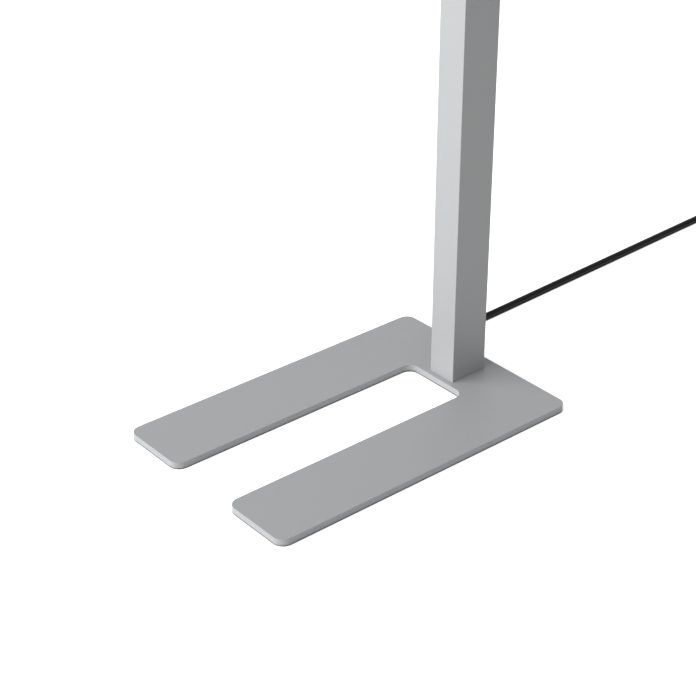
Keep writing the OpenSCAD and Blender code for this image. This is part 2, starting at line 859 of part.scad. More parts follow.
module swivel_plate() {
  color("#b0b2b5") difference() {
    translate([0, 0, panel_z]) 
      round_block(swivel_plate_w, swivel_plate_l, swivel_plate_t, swivel_plate_r);
    translate([0, 0, panel_z - past]) cylinder(r = spigot_r + fit, h = swivel_plate_t + 2 * past);
    at_spigot_screws(panel_z + swivel_plate_t + flange_t)
      csk_space(spigot_screw_d, spigot_screw_head, flange_t + swivel_plate_t + past);
  }
}

module at_head_middle(z) {
  translate([0, head_rear - head_l / 2, z]) children();
}

module at_cover_bosses(z) {
  for (side = [-1, 1], y = cover_boss_y) translate([side * boss_x, y, z]) children();
}

module at_chassis_bosses(z) {
  for (side = [-1, 1], y = chassis_boss_y) translate([side * boss_x, y, z]) children();
}

module head_housing() {
  screw_hole = small_screw_d + fit;
  color("#c4c5c7") difference() {
    union() {
      difference() {
        at_head_middle(head_z) round_block(head_w, head_l, head_t, head_r);
        at_head_middle(panel_z)
          round_block(in_w, head_l - 2 * head_wall, head_t, head_r - head_wall);
      }
      at_cover_bosses(head_z) cylinder(d = boss_d, h = cover_z - head_z);
      at_chassis_bosses(head_z) cylinder(d = boss_d, h = chassis_z - head_z);
    }
    translate([0, window_mid, head_z - past]) 
      round_block(window_w, window_l, floor_t + 2 * past, window_r);
    translate([0, 0, head_z - past]) cylinder(r = spigot_r + fit, h = floor_t + 2 * past);
    translate([0, sensor_y, head_z - past]) cylinder(d = sensor_d + 2 * fit, h = floor_t + 2 * past);
    at_cover_bosses(cover_z - boss_drill) cylinder(d = screw_hole, h = boss_drill + past);
    at_chassis_bosses(chassis_z - boss_drill) cylinder(d = screw_hole, h = boss_drill + past);
  }
}

module head_cover() {
  color("#c4c5c7") difference() {
    at_head_middle(cover_z)
      round_block(in_w - 2 * fit, head_l - 2 * head_wall - 2 * fit, cover_t, head_r - head_wall - fit);
    for (x = up_strip_x) translate([x, window_mid, cover_z - past])
      round_block(uplight_w, uplight_l, cover_t + 2 * past, uplight_r);
    at_cover_bosses(lamp_h) mirror([0, 0, 1])
      csk_space(small_screw_d, small_screw_head, cover_t + past);
  }
}

module cover_screws() {
  color("silver") at_cover_bosses(lamp_h) mirror([0, 0, 1])
    csk_screw(small_screw_d, small_screw_head, cover_t + small_screw_grip);
}

module led_chassis() {
  color("#d6d8da") difference() {
    translate([0, 0, chassis_z]) {
      translate([0, window_mid, 0]) block(panel_w, panel_l, chassis_t);
      for (side = [-1, 1], y = chassis_boss_y)
        translate([side * (panel_w / 2 + boss_d / 2), y, 0]) block(boss_d + 2 * boss_gap, ear_l, chassis_t);
    }
    at_chassis_bosses(chassis_z - past) cylinder(d = small_screw_d + 4 * fit, h = chassis_t + 2 * past);
  }
}

module chassis_screws() {
  color("silver") at_chassis_bosses(chassis_z - small_screw_grip) {
    cylinder(d = small_screw_d, h = small_screw_grip + chassis_t);
    translate([0, 0, small_screw_grip + chassis_t])
      cylinder(d = 2 * small_screw_d, h = 0.6 * small_screw_d);
  }
}

module reflector_frame() {
  color("#f2f2ee") translate([0, window_mid, mixer_z]) difference() {
    block(panel_w, panel_l, chassis_z - mixer_z);
    translate([0, 0, -past]) block(panel_w - 2 * mixer_wall, panel_l - 2 * mixer_wall, head_t);
  }
}

module light_strips(places, z, l) {
  for (x = places) translate([x, window_mid, z]) block(strip_w, l, strip_t);
}

module lamps(places, z, l) {
  for (x = places, k = [0 : strip_leds - 1])
    translate([x, window_mid + l * ((k + 0.5) / strip_leds - 0.5), z]) block(led_w, led_w, led_h);
}

module down_led_boards() {
  color("#eeeee8") light_strips(down_strip_x, chassis_z - strip_t, strip_l);
}

module down_leds() {
  color("#f0d873") lamps(down_strip_x, chassis_z - strip_t - led_h, strip_l);
}

module up_led_boards() {
  color("#eeeee8") light_strips(up_strip_x, chassis_z + chassis_t, uplight_l);
}

module up_leds() {
  color("#f0d873") lamps(up_strip_x, chassis_z + chassis_t + strip_t, uplight_l);
}

module opal_sheet() {
  color("#f7f7f5") translate([0, window_mid, opal_z]) block(panel_w, panel_l, opal_t);
}

module prism_panel() {
  color("#e8eef0") translate([0, window_mid, panel_z]) block(panel_w, panel_l, prism_t);
}

module uplight_windows() {
  color("#eef2f2") for (x = up_strip_x) translate([x, window_mid, cover_z])
    round_block(uplight_w - 2 * fit, uplight_l - 2 * fit, cover_t, uplight_r - fit);
}

module light_controller() {
  color("#2f6b3a") translate([controller_x, controller_y, panel_z]) {
    block(controller_w, controller_l, board_t);
    for (chip = chips)
      translate([chip[0][0], chip[0][1], board_t])
        block(chip[1][0], chip[1][1], controller_h - board_t - chip[2]);
    translate([-controller_w / 2 + socket_edge + socket_w / 2, socket_offset, board_t])
      block(socket_w, socket_l, controller_h - board_t);
  }
}

// From the spigot's middle up into the head and over to the controller
module head_lead() {
  lead_r = head_lead_d / 2;
  lead_z = panel_z + swivel_plate_t + flange_t + lead_r + seat_gap;
  socket_x = controller_x - controller_w / 2 + socket_edge;
  socket_y = controller_y + socket_offset;
  socket_z = panel_z + (board_t + controller_h) / 2;
  color("#303030") swept_tube(
    [
      [0, 0, head_z], [0, 0, lead_z - 7], [1.5, 0, lead_z - 2.8], [5, 0, lead_z - 0.4],
      [9, 0, lead_z], [swivel_plate_w / 2 - 10, socket_y, lead_z],
      [swivel_plate_w / 2 + 3, socket_y, socket_z + 1.6], [socket_x - 5, socket_y, socket_z],
      [socket_x, socket_y, socket_z]
    ],
    lead_r, ref = [0, 1, 0], sides = 8
  );
}

module sensor_body() {
  color("#f0f0ee") translate([0, sensor_y, panel_z]) difference() {
    block(sensor_box, sensor_box, sensor_h);
    translate([0, 0, -past]) cylinder(d = sensor_d - 2 * sensor_ledge, h = past + sensor_well);
  }
}

module sensor_lens() {
  lens_r = sensor_d / 2 - fit;
  color("#f4f4f2") translate([0, sensor_y, 0]) {
    translate([0, 0, head_z]) cylinder(r = lens_r, h = floor_t);
    intersection() {
      translate([0, 0, head_z + lens_r * lens_rise]) sphere(r = lens_r * lens_ball);
      translate([0, 0, head_z - lens_r]) cylinder(r = lens_r, h = lens_r);
    }
  }
}

module sensor_ring() {
  color("#c4c5c7") translate([0, sensor_y, head_z - sensor_rim_t])
    ring_plate(sensor_d / 2 + sensor_rim_w, sensor_d / 2 + fit, sensor_rim_t);
}

module mains_cord() {
  color("#161616") swept_tube(route, cord_d / 2);
}

module coil_profile(grow) {
  translate([coil_mid_r, coil_z + coil_h / 2])
    round_rect(coil_w + 2 * grow, coil_h + 2 * grow, cord_d / 2 + grow);
}

// Outline of the turns at the tie, where the last one lies on top of the outer column
module tied_profile(grow) {
  r = cord_d / 2 + grow;
  near = turn_r(0);
  far = turn_r(coil_cols - 1);
  low = layer_z(0);
  middle = layer_z(coil_layers - 1);
  high = layer_z(coil_layers);
  slope = atan2(high - middle, far - near);
  polygon(concat(
    corner([near, low], r, 180, 270),
    corner([far, low], r, 270, 360),
    corner([far, high], r, 0, 90 + slope),
    corner([near, middle], r, 90 + slope, 180)
  ));
}

module cord_coil() {
  color("#161616") {
    translate([coil_x, coil_y, 0]) rotate_extrude() coil_profile(0);
    swept_tube(tail, cord_d / 2);
  }
}

module coil_tie() {
  color("#2a2a2b") translate([coil_x, coil_y, 0]) rotate([0, 0, 90 - tie_angle / 2])
    rotate_extrude(angle = tie_angle) difference() {
      tied_profile(tie_gap + tie_t);
      tied_profile(tie_gap);
    }
}

// Along -Y on the plug's axis, from a distance past the end of the cord
module at_plug(along) {
  translate(plug_tail - [0, along, 0]) rotate([90, 0, 0]) children();
}

module plug_sleeve() {
  color("#1b1b1c") at_plug(0) cylinder(d1 = boot_tip_d, d2 = boot_root_d, h = plug_sleeve_l);
}

module plug_body() {
  color("#1b1b1c") at_plug(plug_sleeve_l) {
    round_block(plug_w * 0.7, plug_h * 0.8, plug_neck_l, 5);
    translate([0, 0, plug_neck_l]) round_block(plug_w, plug_h, plug_l - plug_neck_l, 8);
  }
}

module plug_pins() {
  color("#c9c4b0") for (side = [-1, 1])
    translate([side * pin_pitch / 2, 0, 0]) at_plug(plug_sleeve_l + plug_l) cylinder(d = pin_d, h = pin_l);
}

base_plate();
foot_pads();
base_screws();
post_foot_block();
foot_side_screws();
earth_screw();
earth_lead();
post_tube();
cord_gland();
gland_nut();
cord_boot();
inner_mains_lead();
terminal_block();
gear_tray();
tray_screws();
driver();
driver_input_lead();
low_voltage_riser();
control_bezel();
power_button();
brighter_button();
dimmer_button();
button_board();
tact_switches();
status_light_pipe();
post_top_block();
top_side_screws();
stop_pin();
thrust_washer();
swivel_spigot();
friction_washer();
ring_nut();
spigot_screws();
swivel_plate();
head_housing();
head_cover();
cover_screws();
led_chassis();
chassis_screws();
reflector_frame();
down_led_boards();
down_leds();
up_led_boards();
up_leds();
opal_sheet();
prism_panel();
uplight_windows();
light_controller();
head_lead();
sensor_body();
sensor_lens();
sensor_ring();
mains_cord();
cord_coil();
coil_tie();
plug_sleeve();
plug_body();
plug_pins();
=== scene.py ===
"""Office floor lamp: the dressed model.

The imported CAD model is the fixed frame. This script gives each of its nodes a real
finish, and puts detailed meshes in the place of the ones that show. Everything is in
metres in the lamp's own frame: +Z up the post, -Y the way the base's arms and the head
point, +Y the way the mains cord runs, and +X to the right. The sizes that the classes
hold are in mm unless their names say otherwise, apart from the studio's.
"""

from __future__ import annotations

import json
import logging
import math
from abc import ABC, abstractmethod
from collections.abc import Sequence
from dataclasses import dataclass, field
from enum import Enum

import bmesh
import bpy
from mathutils import Matrix, Vector

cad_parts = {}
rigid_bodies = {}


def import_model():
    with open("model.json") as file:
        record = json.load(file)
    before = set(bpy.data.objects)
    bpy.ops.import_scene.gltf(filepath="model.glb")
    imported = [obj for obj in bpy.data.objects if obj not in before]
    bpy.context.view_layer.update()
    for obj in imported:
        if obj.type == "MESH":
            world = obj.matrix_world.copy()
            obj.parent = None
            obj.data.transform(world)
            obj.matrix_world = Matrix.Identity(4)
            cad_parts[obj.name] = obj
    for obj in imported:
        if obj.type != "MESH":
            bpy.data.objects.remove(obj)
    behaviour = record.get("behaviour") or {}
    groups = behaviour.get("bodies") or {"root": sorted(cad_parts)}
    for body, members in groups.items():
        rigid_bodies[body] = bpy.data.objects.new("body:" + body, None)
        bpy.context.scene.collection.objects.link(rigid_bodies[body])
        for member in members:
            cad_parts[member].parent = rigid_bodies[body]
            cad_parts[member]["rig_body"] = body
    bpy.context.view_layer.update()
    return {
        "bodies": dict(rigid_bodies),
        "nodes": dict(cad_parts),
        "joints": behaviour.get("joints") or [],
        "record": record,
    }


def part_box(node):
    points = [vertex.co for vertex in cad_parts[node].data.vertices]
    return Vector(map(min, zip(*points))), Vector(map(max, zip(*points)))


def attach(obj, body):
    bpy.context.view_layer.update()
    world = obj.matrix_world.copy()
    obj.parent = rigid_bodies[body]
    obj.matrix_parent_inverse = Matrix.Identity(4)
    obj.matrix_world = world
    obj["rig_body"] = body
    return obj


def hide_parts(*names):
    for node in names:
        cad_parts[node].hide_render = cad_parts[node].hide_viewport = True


LOG = logging.getLogger("floor_lamp")

MM = 0.001
WELD = 0.002 * MM
FULL_TURN = 2 * math.pi
# Faces that meet at less than this are one flat face.
FLAT_DEG = 0.5
# A Wave Texture at a scale of 1 goes round by this many radians in a metre.
WAVE_RADIANS = 20
CORD_D = 8.8
WHITE = "#ffffff"
# Where nearly all values of a noise lie.
NOISE_SPAN = (0.3, 0.7)
UP = Vector((0, 0, 1))
INWARD = Vector((0, 1, 0))
TO_PLUG = Vector((0, -1, 0))

Point = tuple[float, float, float]
Colour = tuple[float, float, float, float]
Profile = list[tuple[float, float]]
Span = tuple[float, float]


class Body(str, Enum):
    """The lamp's moving groups."""

    STAND = "stand"
    HEAD = "head"
    ON_OFF = "on_off_key"
    BRIGHTER = "brighter_key"
    DIMMER = "dimmer_key"


class Along(Enum):
    """The direction that a metal was drawn, brushed or rolled in."""

    X = (0.03, 1.0, 1.0)
    Y = (1.0, 0.03, 1.0)
    Z = (1.0, 1.0, 0.03)


class MixSocket(int, Enum):
    """The sockets of a Mix node that mixes colours."""

    FACTOR = 0
    FIRST = 6
    SECOND = 7
    RESULT = 2


# --- Small shared functions ------------------------------------------------------------


def linear(colour: str, gain: float = 1.0) -> Colour:
    """Turns an sRGB hex colour into the linear one that shaders take.

    Args:
        colour: The colour, as "#rrggbb".
        gain: How much brighter than written it is.

    Returns:
        Red, green, blue and alpha.
    """
    channels = []
    for start in (1, 3, 5):
        value = int(colour[start : start + 2], 16) / 255
        value = value / 12.92 if value <= 0.04045 else ((value + 0.055) / 1.055) ** 2.4
        channels.append(min(1.0, value * gain))
    return (*channels, 1.0)


def per_size(size: float) -> float:
    """Gives the texture scale at which one feature of a pattern is that many mm wide."""
    return 1 / (size * MM)


def bands(period: float) -> float:
    """Gives the scale of a Wave Texture whose bands repeat every so many mm."""
    return FULL_TURN / WAVE_RADIANS / (period * MM)


def ease(value: float, start: float, end: float) -> float:
    """Goes smoothly from 0 at start to 1 at end."""
    share = min(1.0, max(0.0, (value - start) / (end - start)))
    return share * share * (3 - 2 * share)


def corners(node: str) -> tuple[Vector, Vector, Vector]:
    """Gives a CAD node's lowest corner, middle and highest corner, in mm."""
    low, high = (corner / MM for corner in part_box(node))
    return low, (low + high) / 2, high


def put_in_scene(name: str, data: bpy.types.ID) -> bpy.types.Object:
    """Makes an object at the origin.

    Args:
        name: Its name.
        data: Its mesh, curve, camera or lamp.

    Returns:
        The object.
    """
    thing = bpy.data.objects.new(name, data)
    bpy.context.scene.collection.objects.link(thing)
    return thing


def add_node(
    tree: bpy.types.NodeTree,
    kind: str,
    inputs: dict[str | int, object] | None = None,
    **settings: object,
) -> bpy.types.Node:
    """Adds a node to a shader.

    Args:
        tree: The node tree.
        kind: The node's type.
        inputs: For each input, by name or place, its value or the output that feeds it.
        **settings: The node's own properties.

    Returns:
        The new node.
    """
    node = tree.nodes.new(kind)
    for name, value in settings.items():
        setattr(node, name, value)
    for key, value in (inputs or {}).items():
        socket = node.inputs[int(key) if isinstance(key, int) else key]
        if isinstance(value, bpy.types.NodeSocket):
            tree.links.new(value, socket)
        else:
            socket.default_value = value
    return node


def calculate(
    tree: bpy.types.NodeTree, operation: str, *values: float | bpy.types.NodeSocket
) -> bpy.types.NodeSocket:
    """Adds a calculation to a shader.

    Args:
        tree: The node tree.
        operation: What is done with the values.
        *values: The numbers, or the outputs that feed them.

    Returns:
        The result.
    """
    inputs = dict(enumerate(values))
    return add_node(tree, "ShaderNodeMath", inputs, operation=operation).outputs[0]


def remap(
    tree: bpy.types.NodeTree, value: bpy.types.NodeSocket, source: Span, target: Span
) -> bpy.types.NodeSocket:
    """Adds a change from one span of values to another.

    Args:
        tree: The node tree.
        value: The output that is changed.
        source: The values that become the target's first and last.
        target: The new first and last value.

    Returns:
        The result.
    """
    ends = zip(("From Min", "From Max", "To Min", "To Max"), (*source, *target))
    inputs = {"Value": value, **dict(ends)}
    return add_node(tree, "ShaderNodeMapRange", inputs).outputs["Result"]


# --- Finishes --------------------------------------------------------------------------


@dataclass(frozen=True)
class Skin:
    """A material in the making: its nodes, its shader and its texture coordinates."""

    tree: bpy.types.NodeTree
    shader: bpy.types.Node
    where: bpy.types.Node

    @property
    def place(self) -> bpy.types.NodeSocket:
        """Gives the point on the piece, in metres."""
        return self.where.outputs["Object"]

    def set_even(self, values: dict[str, object]) -> None:
        """Sets what is the same all over the surface.

        Args:
            values: The value of each of the shader's sockets, by name.
        """
        for name, value in values.items():
            self.shader.inputs[name].default_value = value

    def noise(self, size: float, detail: float) -> bpy.types.NodeSocket:
        """Adds a noise whose coarsest features are so many mm wide."""
        inputs = {"Vector": self.place, "Scale": per_size(size), "Detail": detail}
        return add_node(self.tree, "ShaderNodeTexNoise", inputs).outputs["Fac"]

    def cells(self, size: float, **settings: object) -> bpy.types.Node:
        """Adds cells that are so many mm wide."""
        inputs = {"Vector": self.place, "Scale": per_size(size)}
        return add_node(self.tree, "ShaderNodeTexVoronoi", inputs, **settings)

    def waves(self, period: float, **settings: object) -> bpy.types.NodeSocket:
        """Adds bands that repeat every so many mm."""
        inputs = {"Vector": self.place, "Scale": bands(period)}
        return add_node(self.tree, "ShaderNodeTexWave", inputs, **settings).outputs["Fac"]


@dataclass(frozen=True)
class Finish(ABC):
    """What every finish has: a name, a colour and a roughness."""

    name: str
    colour: str
    roughness: float

    @abstractmethod
    def dress(self, skin: Skin) -> None:
        """Adds the finish's pattern.

        Args:
            skin: The material in the making.
        """

    def material(self) -> bpy.types.Material:
        """Makes the material.

        Returns:
            A material with this finish's colour, roughness and pattern.
        """
        material = bpy.data.materials.new(self.name)
        material.use_nodes = True
        tree = material.node_tree
        skin = Skin(tree, tree.nodes["Principled BSDF"], add_node(tree, "ShaderNodeTexCoord"))
        skin.set_even({"Base Color": linear(self.colour), "Roughness": self.roughness})
        self.dress(skin)
        return material

    def shades(self, tone: float) -> tuple[Colour, Colour]:
        """Gives the finish's colour a little darker and a little lighter."""
        return linear(self.colour, 1 - tone), linear(self.colour, 1 + tone)

    def work_in(
        self,
        skin: Skin,
        height: bpy.types.NodeSocket | None = None,
        relief: float = 0.0,
        shade: bpy.types.NodeSocket | None = None,
        shades: Sequence[Colour] = (),
        gloss: bpy.types.NodeSocket | None = None,
        spread: float = 0.05,
    ) -> None:
        """Turns a pattern into changes of height, shade and gloss.

        Args:
            skin: The material in the making.
            height: The pattern's height, about 0 to 1.
            relief: What a height of 1 measures, in mm.
            shade: The share of the second shade, 0 to 1.
            shades: The two shades.
            gloss: What changes the roughness, a noise or the like.
            spread: How far the roughness goes each way.
        """
        link = skin.tree.links.new
        if height:
            inputs = {"Height": height, "Distance": relief * MM, "Strength": 1.0}
            bump = add_node(skin.tree, "ShaderNodeBump", inputs)
            link(bump.outputs["Normal"], skin.shader.inputs["Normal"])
        if shade:
            sockets = MixSocket.FACTOR, MixSocket.FIRST, MixSocket.SECOND
            inputs = dict(zip(sockets, (shade, *shades)))
            mixed = add_node(skin.tree, "ShaderNodeMix", inputs, data_type="RGBA")
            link(mixed.outputs[MixSocket.RESULT], skin.shader.inputs["Base Color"])
        if gloss:
            ends = self.roughness - spread, self.roughness + spread
            link(remap(skin.tree, gloss, NOISE_SPAN, ends), skin.shader.inputs["Roughness"])


@dataclass(frozen=True)
class PowderCoat(Finish):
    """Polyester powder, sprayed and baked: a satin skin with a fine even grain."""

    # The real grain is about 0.3 mm. It is drawn coarser, so that it shows.
    grain: float = 1.1
    relief: float = 0.03
    flow: float = 9.0
    flow_share: float = 1.5
    flake: float = 0.7
    tone: float = 0.07

    def dress(self, skin: Skin) -> None:
        """Adds the grain, the slow flow of the baked skin and its pale metal flakes.

        Args:
            skin: The material in the making.
        """
        grain, flow = skin.noise(self.grain, 3.0), skin.noise(self.flow, 2.0)
        flakes = skin.cells(self.flake).outputs["Distance"]
        height = calculate(skin.tree, "MULTIPLY_ADD", flow, self.flow_share, grain)
        self.work_in(skin, height, self.relief, grain, self.shades(self.tone), flakes)


@dataclass(frozen=True)
class Moulded(Finish):
    """Plastic or rubber from a spark-eroded mould: a fine leathery grain."""

    grain: float = 0.8
    relief: float = 0.03
    tone: float = 0.12
    subsurface: float = 0.0
    depth: float = 2.0
    # How far the grain's cells run into each other.
    melt: float = 0.7
    # How much wider the clouds of shade and gloss are than the grain.
    cloud_spread: float = 12.0

    def dress(self, skin: Skin) -> None:
        """Adds the mould's grain and a faint change of shade and gloss with it.

        Args:
            skin: The material in the making.
        """
        cells = skin.cells(self.grain, feature="SMOOTH_F1")
        cells.inputs["Smoothness"].default_value = self.melt
        grain = cells.outputs["Distance"]
        cloud = skin.noise(self.cloud_spread * self.grain, 3.0)
        skin.set_even(
            {"Subsurface Weight": self.subsurface, "Subsurface Scale": self.depth * MM}
        )
        self.work_in(skin, grain, self.relief, cloud, self.shades(self.tone), cloud)


@dataclass(frozen=True)
class DrawnMetal(Finish):
    """Bare metal with the fine straight lines of drawing, rolling or turning."""

    along: Along = Along.Z
    line: float = 0.5
    relief: float = 0.01
    tone: float = 0.08
    spread: float = 0.07

    def dress(self, skin: Skin) -> None:
        """Adds the tool's lines, which stretch along the direction of the work.

        Args:
            skin: The material in the making.
        """
        stretched = add_node(
            skin.tree, "ShaderNodeMapping", {"Vector": skin.place, "Scale": self.along.value}
        )
        lines = add_node(
            skin.tree,
            "ShaderNodeTexNoise",
            {
                "Vector": stretched.outputs["Vector"],
                "Scale": per_size(self.line),
                "Detail": 4.0,
                "Roughness": 0.65,
            },
        ).outputs["Fac"]
        skin.set_even({"Metallic": 1.0})
        shades = self.shades(self.tone)
        self.work_in(skin, lines, self.relief, lines, shades, lines, self.spread)


@dataclass(frozen=True)
class Plated(Finish):
    """Metal under a plated or dipped skin, which crystallises in dull patches."""

    tint: str = "#c9c3a8"
    patch: float = 2.5
    relief: float = 0.008
    tarnish: float = 0.5
    # How much wider the clouds of tarnish are than a crystal, and the values between
    # which they turn from one tint to the other.
    cloud_spread: float = 6.0
    cloud_span: Span = (0.35, 0.7)

    def dress(self, skin: Skin) -> None:
        """Adds the crystals, each with its own gloss, and a tarnish between tints.

        Args:
            skin: The material in the making.
        """
        crystals = skin.cells(self.patch)
        height = crystals.outputs["Distance"]
        inputs = {"Color": crystals.outputs["Color"]}
        gloss = add_node(skin.tree, "ShaderNodeSeparateColor", inputs).outputs["Red"]
        clouds = skin.noise(self.cloud_spread * self.patch, 4.0)
        blend = remap(skin.tree, clouds, self.cloud_span, (0.0, self.tarnish))
        skin.set_even({"Metallic": 1.0})
        shades = linear(self.colour), linear(self.tint)
        self.work_in(skin, height, self.relief, blend, shades, gloss)


@dataclass(frozen=True)
class Sheath(Finish):
    """PVC extruded over a wire: smooth, with faint waves from the die."""

    line: float = 1.2
    relief: float = 0.02
    spread: float = 0.04
    mirror: float = 0.5
    stripe: str = ""
    # How much wider the stripes are than the die's lines.
    stripe_spread: float = 2.5

    def dress(self, skin: Skin) -> None:
        """Adds the die's waves, and a second colour in bands where there is one.

        Args:
            skin: The material in the making.
        """
        lines = skin.noise(self.line, 2.0)
        skin.set_even({"Specular IOR Level": self.mirror})
        pick = None
        if self.stripe:
            bars = skin.waves(self.stripe_spread * self.line, bands_direction="X")
            pick = calculate(skin.tree, "GREATER_THAN", bars, 0.5)
        shades = linear(self.colour), linear(self.stripe or self.colour)
        self.work_in(skin, lines, self.relief, pick, shades, lines, self.spread)


@dataclass(frozen=True)
class CordSheath(Sheath):
    """The mains cord's sheath, whose die lines run along the cord's own length."""

    # What the cord's own map spans along it and round it, and how long one line is.
    length: float = 2530.0
    girth: float = 27.6
    stretch: float = 80.0
    tone: float = 0.2

    def dress(self, skin: Skin) -> None:
        """Adds lines and a slight change of shade that follow the cord.

        Args:
            skin: The material in the making.
        """
        lines_each_way = (self.length / self.stretch, self.girth / self.line, 1)
        inputs = {"Vector": skin.where.outputs["UV"], "Scale": lines_each_way}
        along = add_node(skin.tree, "ShaderNodeMapping", inputs).outputs["Vector"]
        inputs = {"Vector": along, "Scale": 1.0, "Detail": 2.0}
        lines = add_node(skin.tree, "ShaderNodeTexNoise", inputs).outputs["Fac"]
        skin.set_even({"Specular IOR Level": self.mirror})
        shades = self.shades(self.tone)
        self.work_in(skin, lines, self.relief, lines, shades, lines, self.spread)


@dataclass(frozen=True)
class ClearAcrylic(Finish):
    """Clear acrylic, embossed with rows of tiny pyramids that hide the lamps."""

    pyramid: float = 3.0
    relief: float = 0.5
    refraction: float = 1.49
    clarity: float = 0.85

    def dress(self, skin: Skin) -> None:
        """Adds two crossing sets of ridges, whose lower parts are pyramids.

        Args:
            skin: The material in the making.
        """
        ridges = [
            skin.waves(self.pyramid, bands_direction=direction, wave_profile="TRI")
            for direction in ("X", "Y")
        ]
        height = calculate(skin.tree, "MINIMUM", *ridges)
        skin.set_even({"Transmission Weight": self.clarity, "IOR": self.refraction})
        self.work_in(skin, height, self.relief)


@dataclass(frozen=True)
class OpalSheet(Finish):
    """Cast acrylic with white pigment: milky, with light from deep inside it."""

    speckle: float = 1.5
    tone: float = 0.04
    milk: float = 0.4
    depth: float = 3.0

    def dress(self, skin: Skin) -> None:
        """Adds the pigment's slight unevenness and the light that spreads in it.

        Args:
            skin: The material in the making.
        """
        speckle = skin.noise(self.speckle, 2.0)
        skin.set_even({"Subsurface Weight": self.milk, "Subsurface Scale": self.depth * MM})
        self.work_in(skin, shade=speckle, shades=self.shades(self.tone))


@dataclass(frozen=True)
class SolderMask(Finish):
    """Lacquer over a printed circuit: the copper tracks show as a lighter maze."""

    track: str = "#3f8a55"
    track_w: float = 2.4
    # Where a track's edge begins and ends, as shares of its width.
    edge_span: Span = (0.38, 0.44)
    relief: float = 0.04

    def dress(self, skin: Skin) -> None:
        """Adds the tracks as blocks with straight gaps between them.

        Args:
            skin: The material in the making.
        """
        tracks = skin.cells(self.track_w, distance="CHEBYCHEV").outputs["Distance"]
        pick = remap(skin.tree, tracks, self.edge_span, (1.0, 0.0))
        shades = linear(self.colour), linear(self.track)
        self.work_in(skin, pick, self.relief, pick, shades)


@dataclass(frozen=True)
class WovenStrap(Finish):
    """Nylon woven in a plain weave: warp and weft over and under each other."""

    thread: float = 1.0
    relief: float = 0.15
    nap: float = 0.3
    # Painted shade in the gaps and painted highlight on the tops of the threads: how bright each
    # is.
    gap_painted_shade_gain: float = 0.6
    top_painted_highlight_gain: float = 1.6

    def dress(self, skin: Skin) -> None:
        """Adds the threads as two sets of waves and the sheen of loose fibres.

        Args:
            skin: The material in the making.
        """
        threads = [
            skin.waves(self.thread, bands_direction=direction)
            for direction in ("X", "DIAGONAL")
        ]
        height = calculate(skin.tree, "MULTIPLY", *threads)
        skin.set_even({"Sheen Weight": self.nap})
        shades = linear(self.colour, self.gap_painted_shade_gain), linear(self.colour, self.top_painted_highlight_gain)
        # The colour follows the height: painted shade in the gaps, painted highlight on the
        # thread tops.
        self.work_in(skin, height, self.relief, height, shades)


# What each of the record's finishes is on the real lamp, and what it gives the eye.
FINISHES: dict[str, Finish] = {
    # Satin silver-grey skin on the flat steel plate: even and matt, with a fine grain.
    "base_paint": PowderCoat("powder_coat_on_steel", "#a4a6a8", 0.5),
    # The same powder on the extruded post, where the skin lies a little smoother.
    "post_paint": PowderCoat("powder_coat_on_extrusion", "#a2a3a4", 0.5),
    # The same powder on the head's thin shells.
    "head_paint": PowderCoat("powder_coat_on_shell", "#a4a6a8", 0.5),
    # Dull black, with a grain that breaks up every highlight.
    "pad_rubber": Moulded("moulded_nitrile_rubber", "#1c1c1c", 0.75, grain=0.9),
    # Soft and nearly matt, a little greyer than the cord.
    "boot_rubber": Moulded("moulded_soft_pvc", "#171718", 0.6, grain=0.7),
    # Near black with a narrow satin highlight along its length.
    "cord_sheath": CordSheath("extruded_pvc_sheath", "#080808", 0.36, mirror=0.12),
    # Fine spark-eroded grain, which spreads every highlight into an even dark grey.
    "black_plastic": Moulded("moulded_black_abs", "#1d1d1f", 0.5),
    # Satin, one shade lighter than the panel round it.
    "button_plastic": Moulded("moulded_grey_abs", "#4a4a4d", 0.4, grain=0.5),
    # Tough and slightly shiny from handling.
    "plug_plastic": Moulded("moulded_plug_pvc", "#18181a", 0.48, grain=0.6),
    # Bluish bright zinc on the screws.
    "zinc_steel": Plated("zinc_plated_steel", "#a6a8ac", 0.36, "#b5b2a2", patch=1.2),
    # Hot-dipped sheet with its flat crystals.
    "sheet_steel": Plated("galvanised_sheet_steel", "#a9adb0", 0.4, "#c5c8ca", patch=6.0),
    # Bright cutter lines of milling.
    "mill_aluminium": DrawnMetal("milled_aluminium", "#c9cbce", 0.34, along=Along.X),
    # Warm white metal, polished.
    "plated_brass": Plated("nickel_plated_brass", "#aba698", 0.26, "#ada284", patch=0.9),
    # Yellow metal with turning lines.
    "yellow_brass": DrawnMetal("turned_brass", "#c8a657", 0.3, along=Along.X),
    # Matt and clean.
    "white_plastic": Moulded("moulded_white_polycarbonate", "#e6e6e2", 0.5, subsurface=0.1),
    # Milky and smooth, with a soft highlight.
    "lens_plastic": Moulded(
        "moulded_polyethylene_lens", "#e9e9e5", 0.3, grain=2.0, relief=0.01, subsurface=0.4
    ),
    # Satin black lead.
    "wire_black": Sheath("extruded_pvc_lead", "#262626", 0.42, line=0.8),
    # Green lead with yellow bands.
    "wire_earth": Sheath("extruded_earth_lead", "#3f8f3f", 0.42, line=0.8, stripe="#dccb35"),
    # Green lacquer over copper.
    "board_green": SolderMask("green_solder_mask", "#1d5a34", 0.35),
    # White lacquer on the light strips, nearly without contrast.
    "board_white": SolderMask("white_solder_mask", "#e6e6df", 0.4, "#d9d9cf", track_w=4.0),
    # Yellow phosphor under clear silicone.
    "lamp_phosphor": Moulded(
        "cast_phosphor_silicone", "#ead27a", 0.2, grain=0.5, relief=0.01, subsurface=0.3
    ),
    # Milky sheet behind the prisms.
    "opal_acrylic": OpalSheet("cast_opal_acrylic", "#f0f0ed", 0.35),
    # Clear sheet with pyramids that sparkle in rows.
    "clear_acrylic": ClearAcrylic("embossed_clear_acrylic", "#f7f6f6", 0.08),
    # Dull black weave with a soft nap.
    "tie_fabric": WovenStrap("woven_nylon_strap", "#232325", 0.8),
}


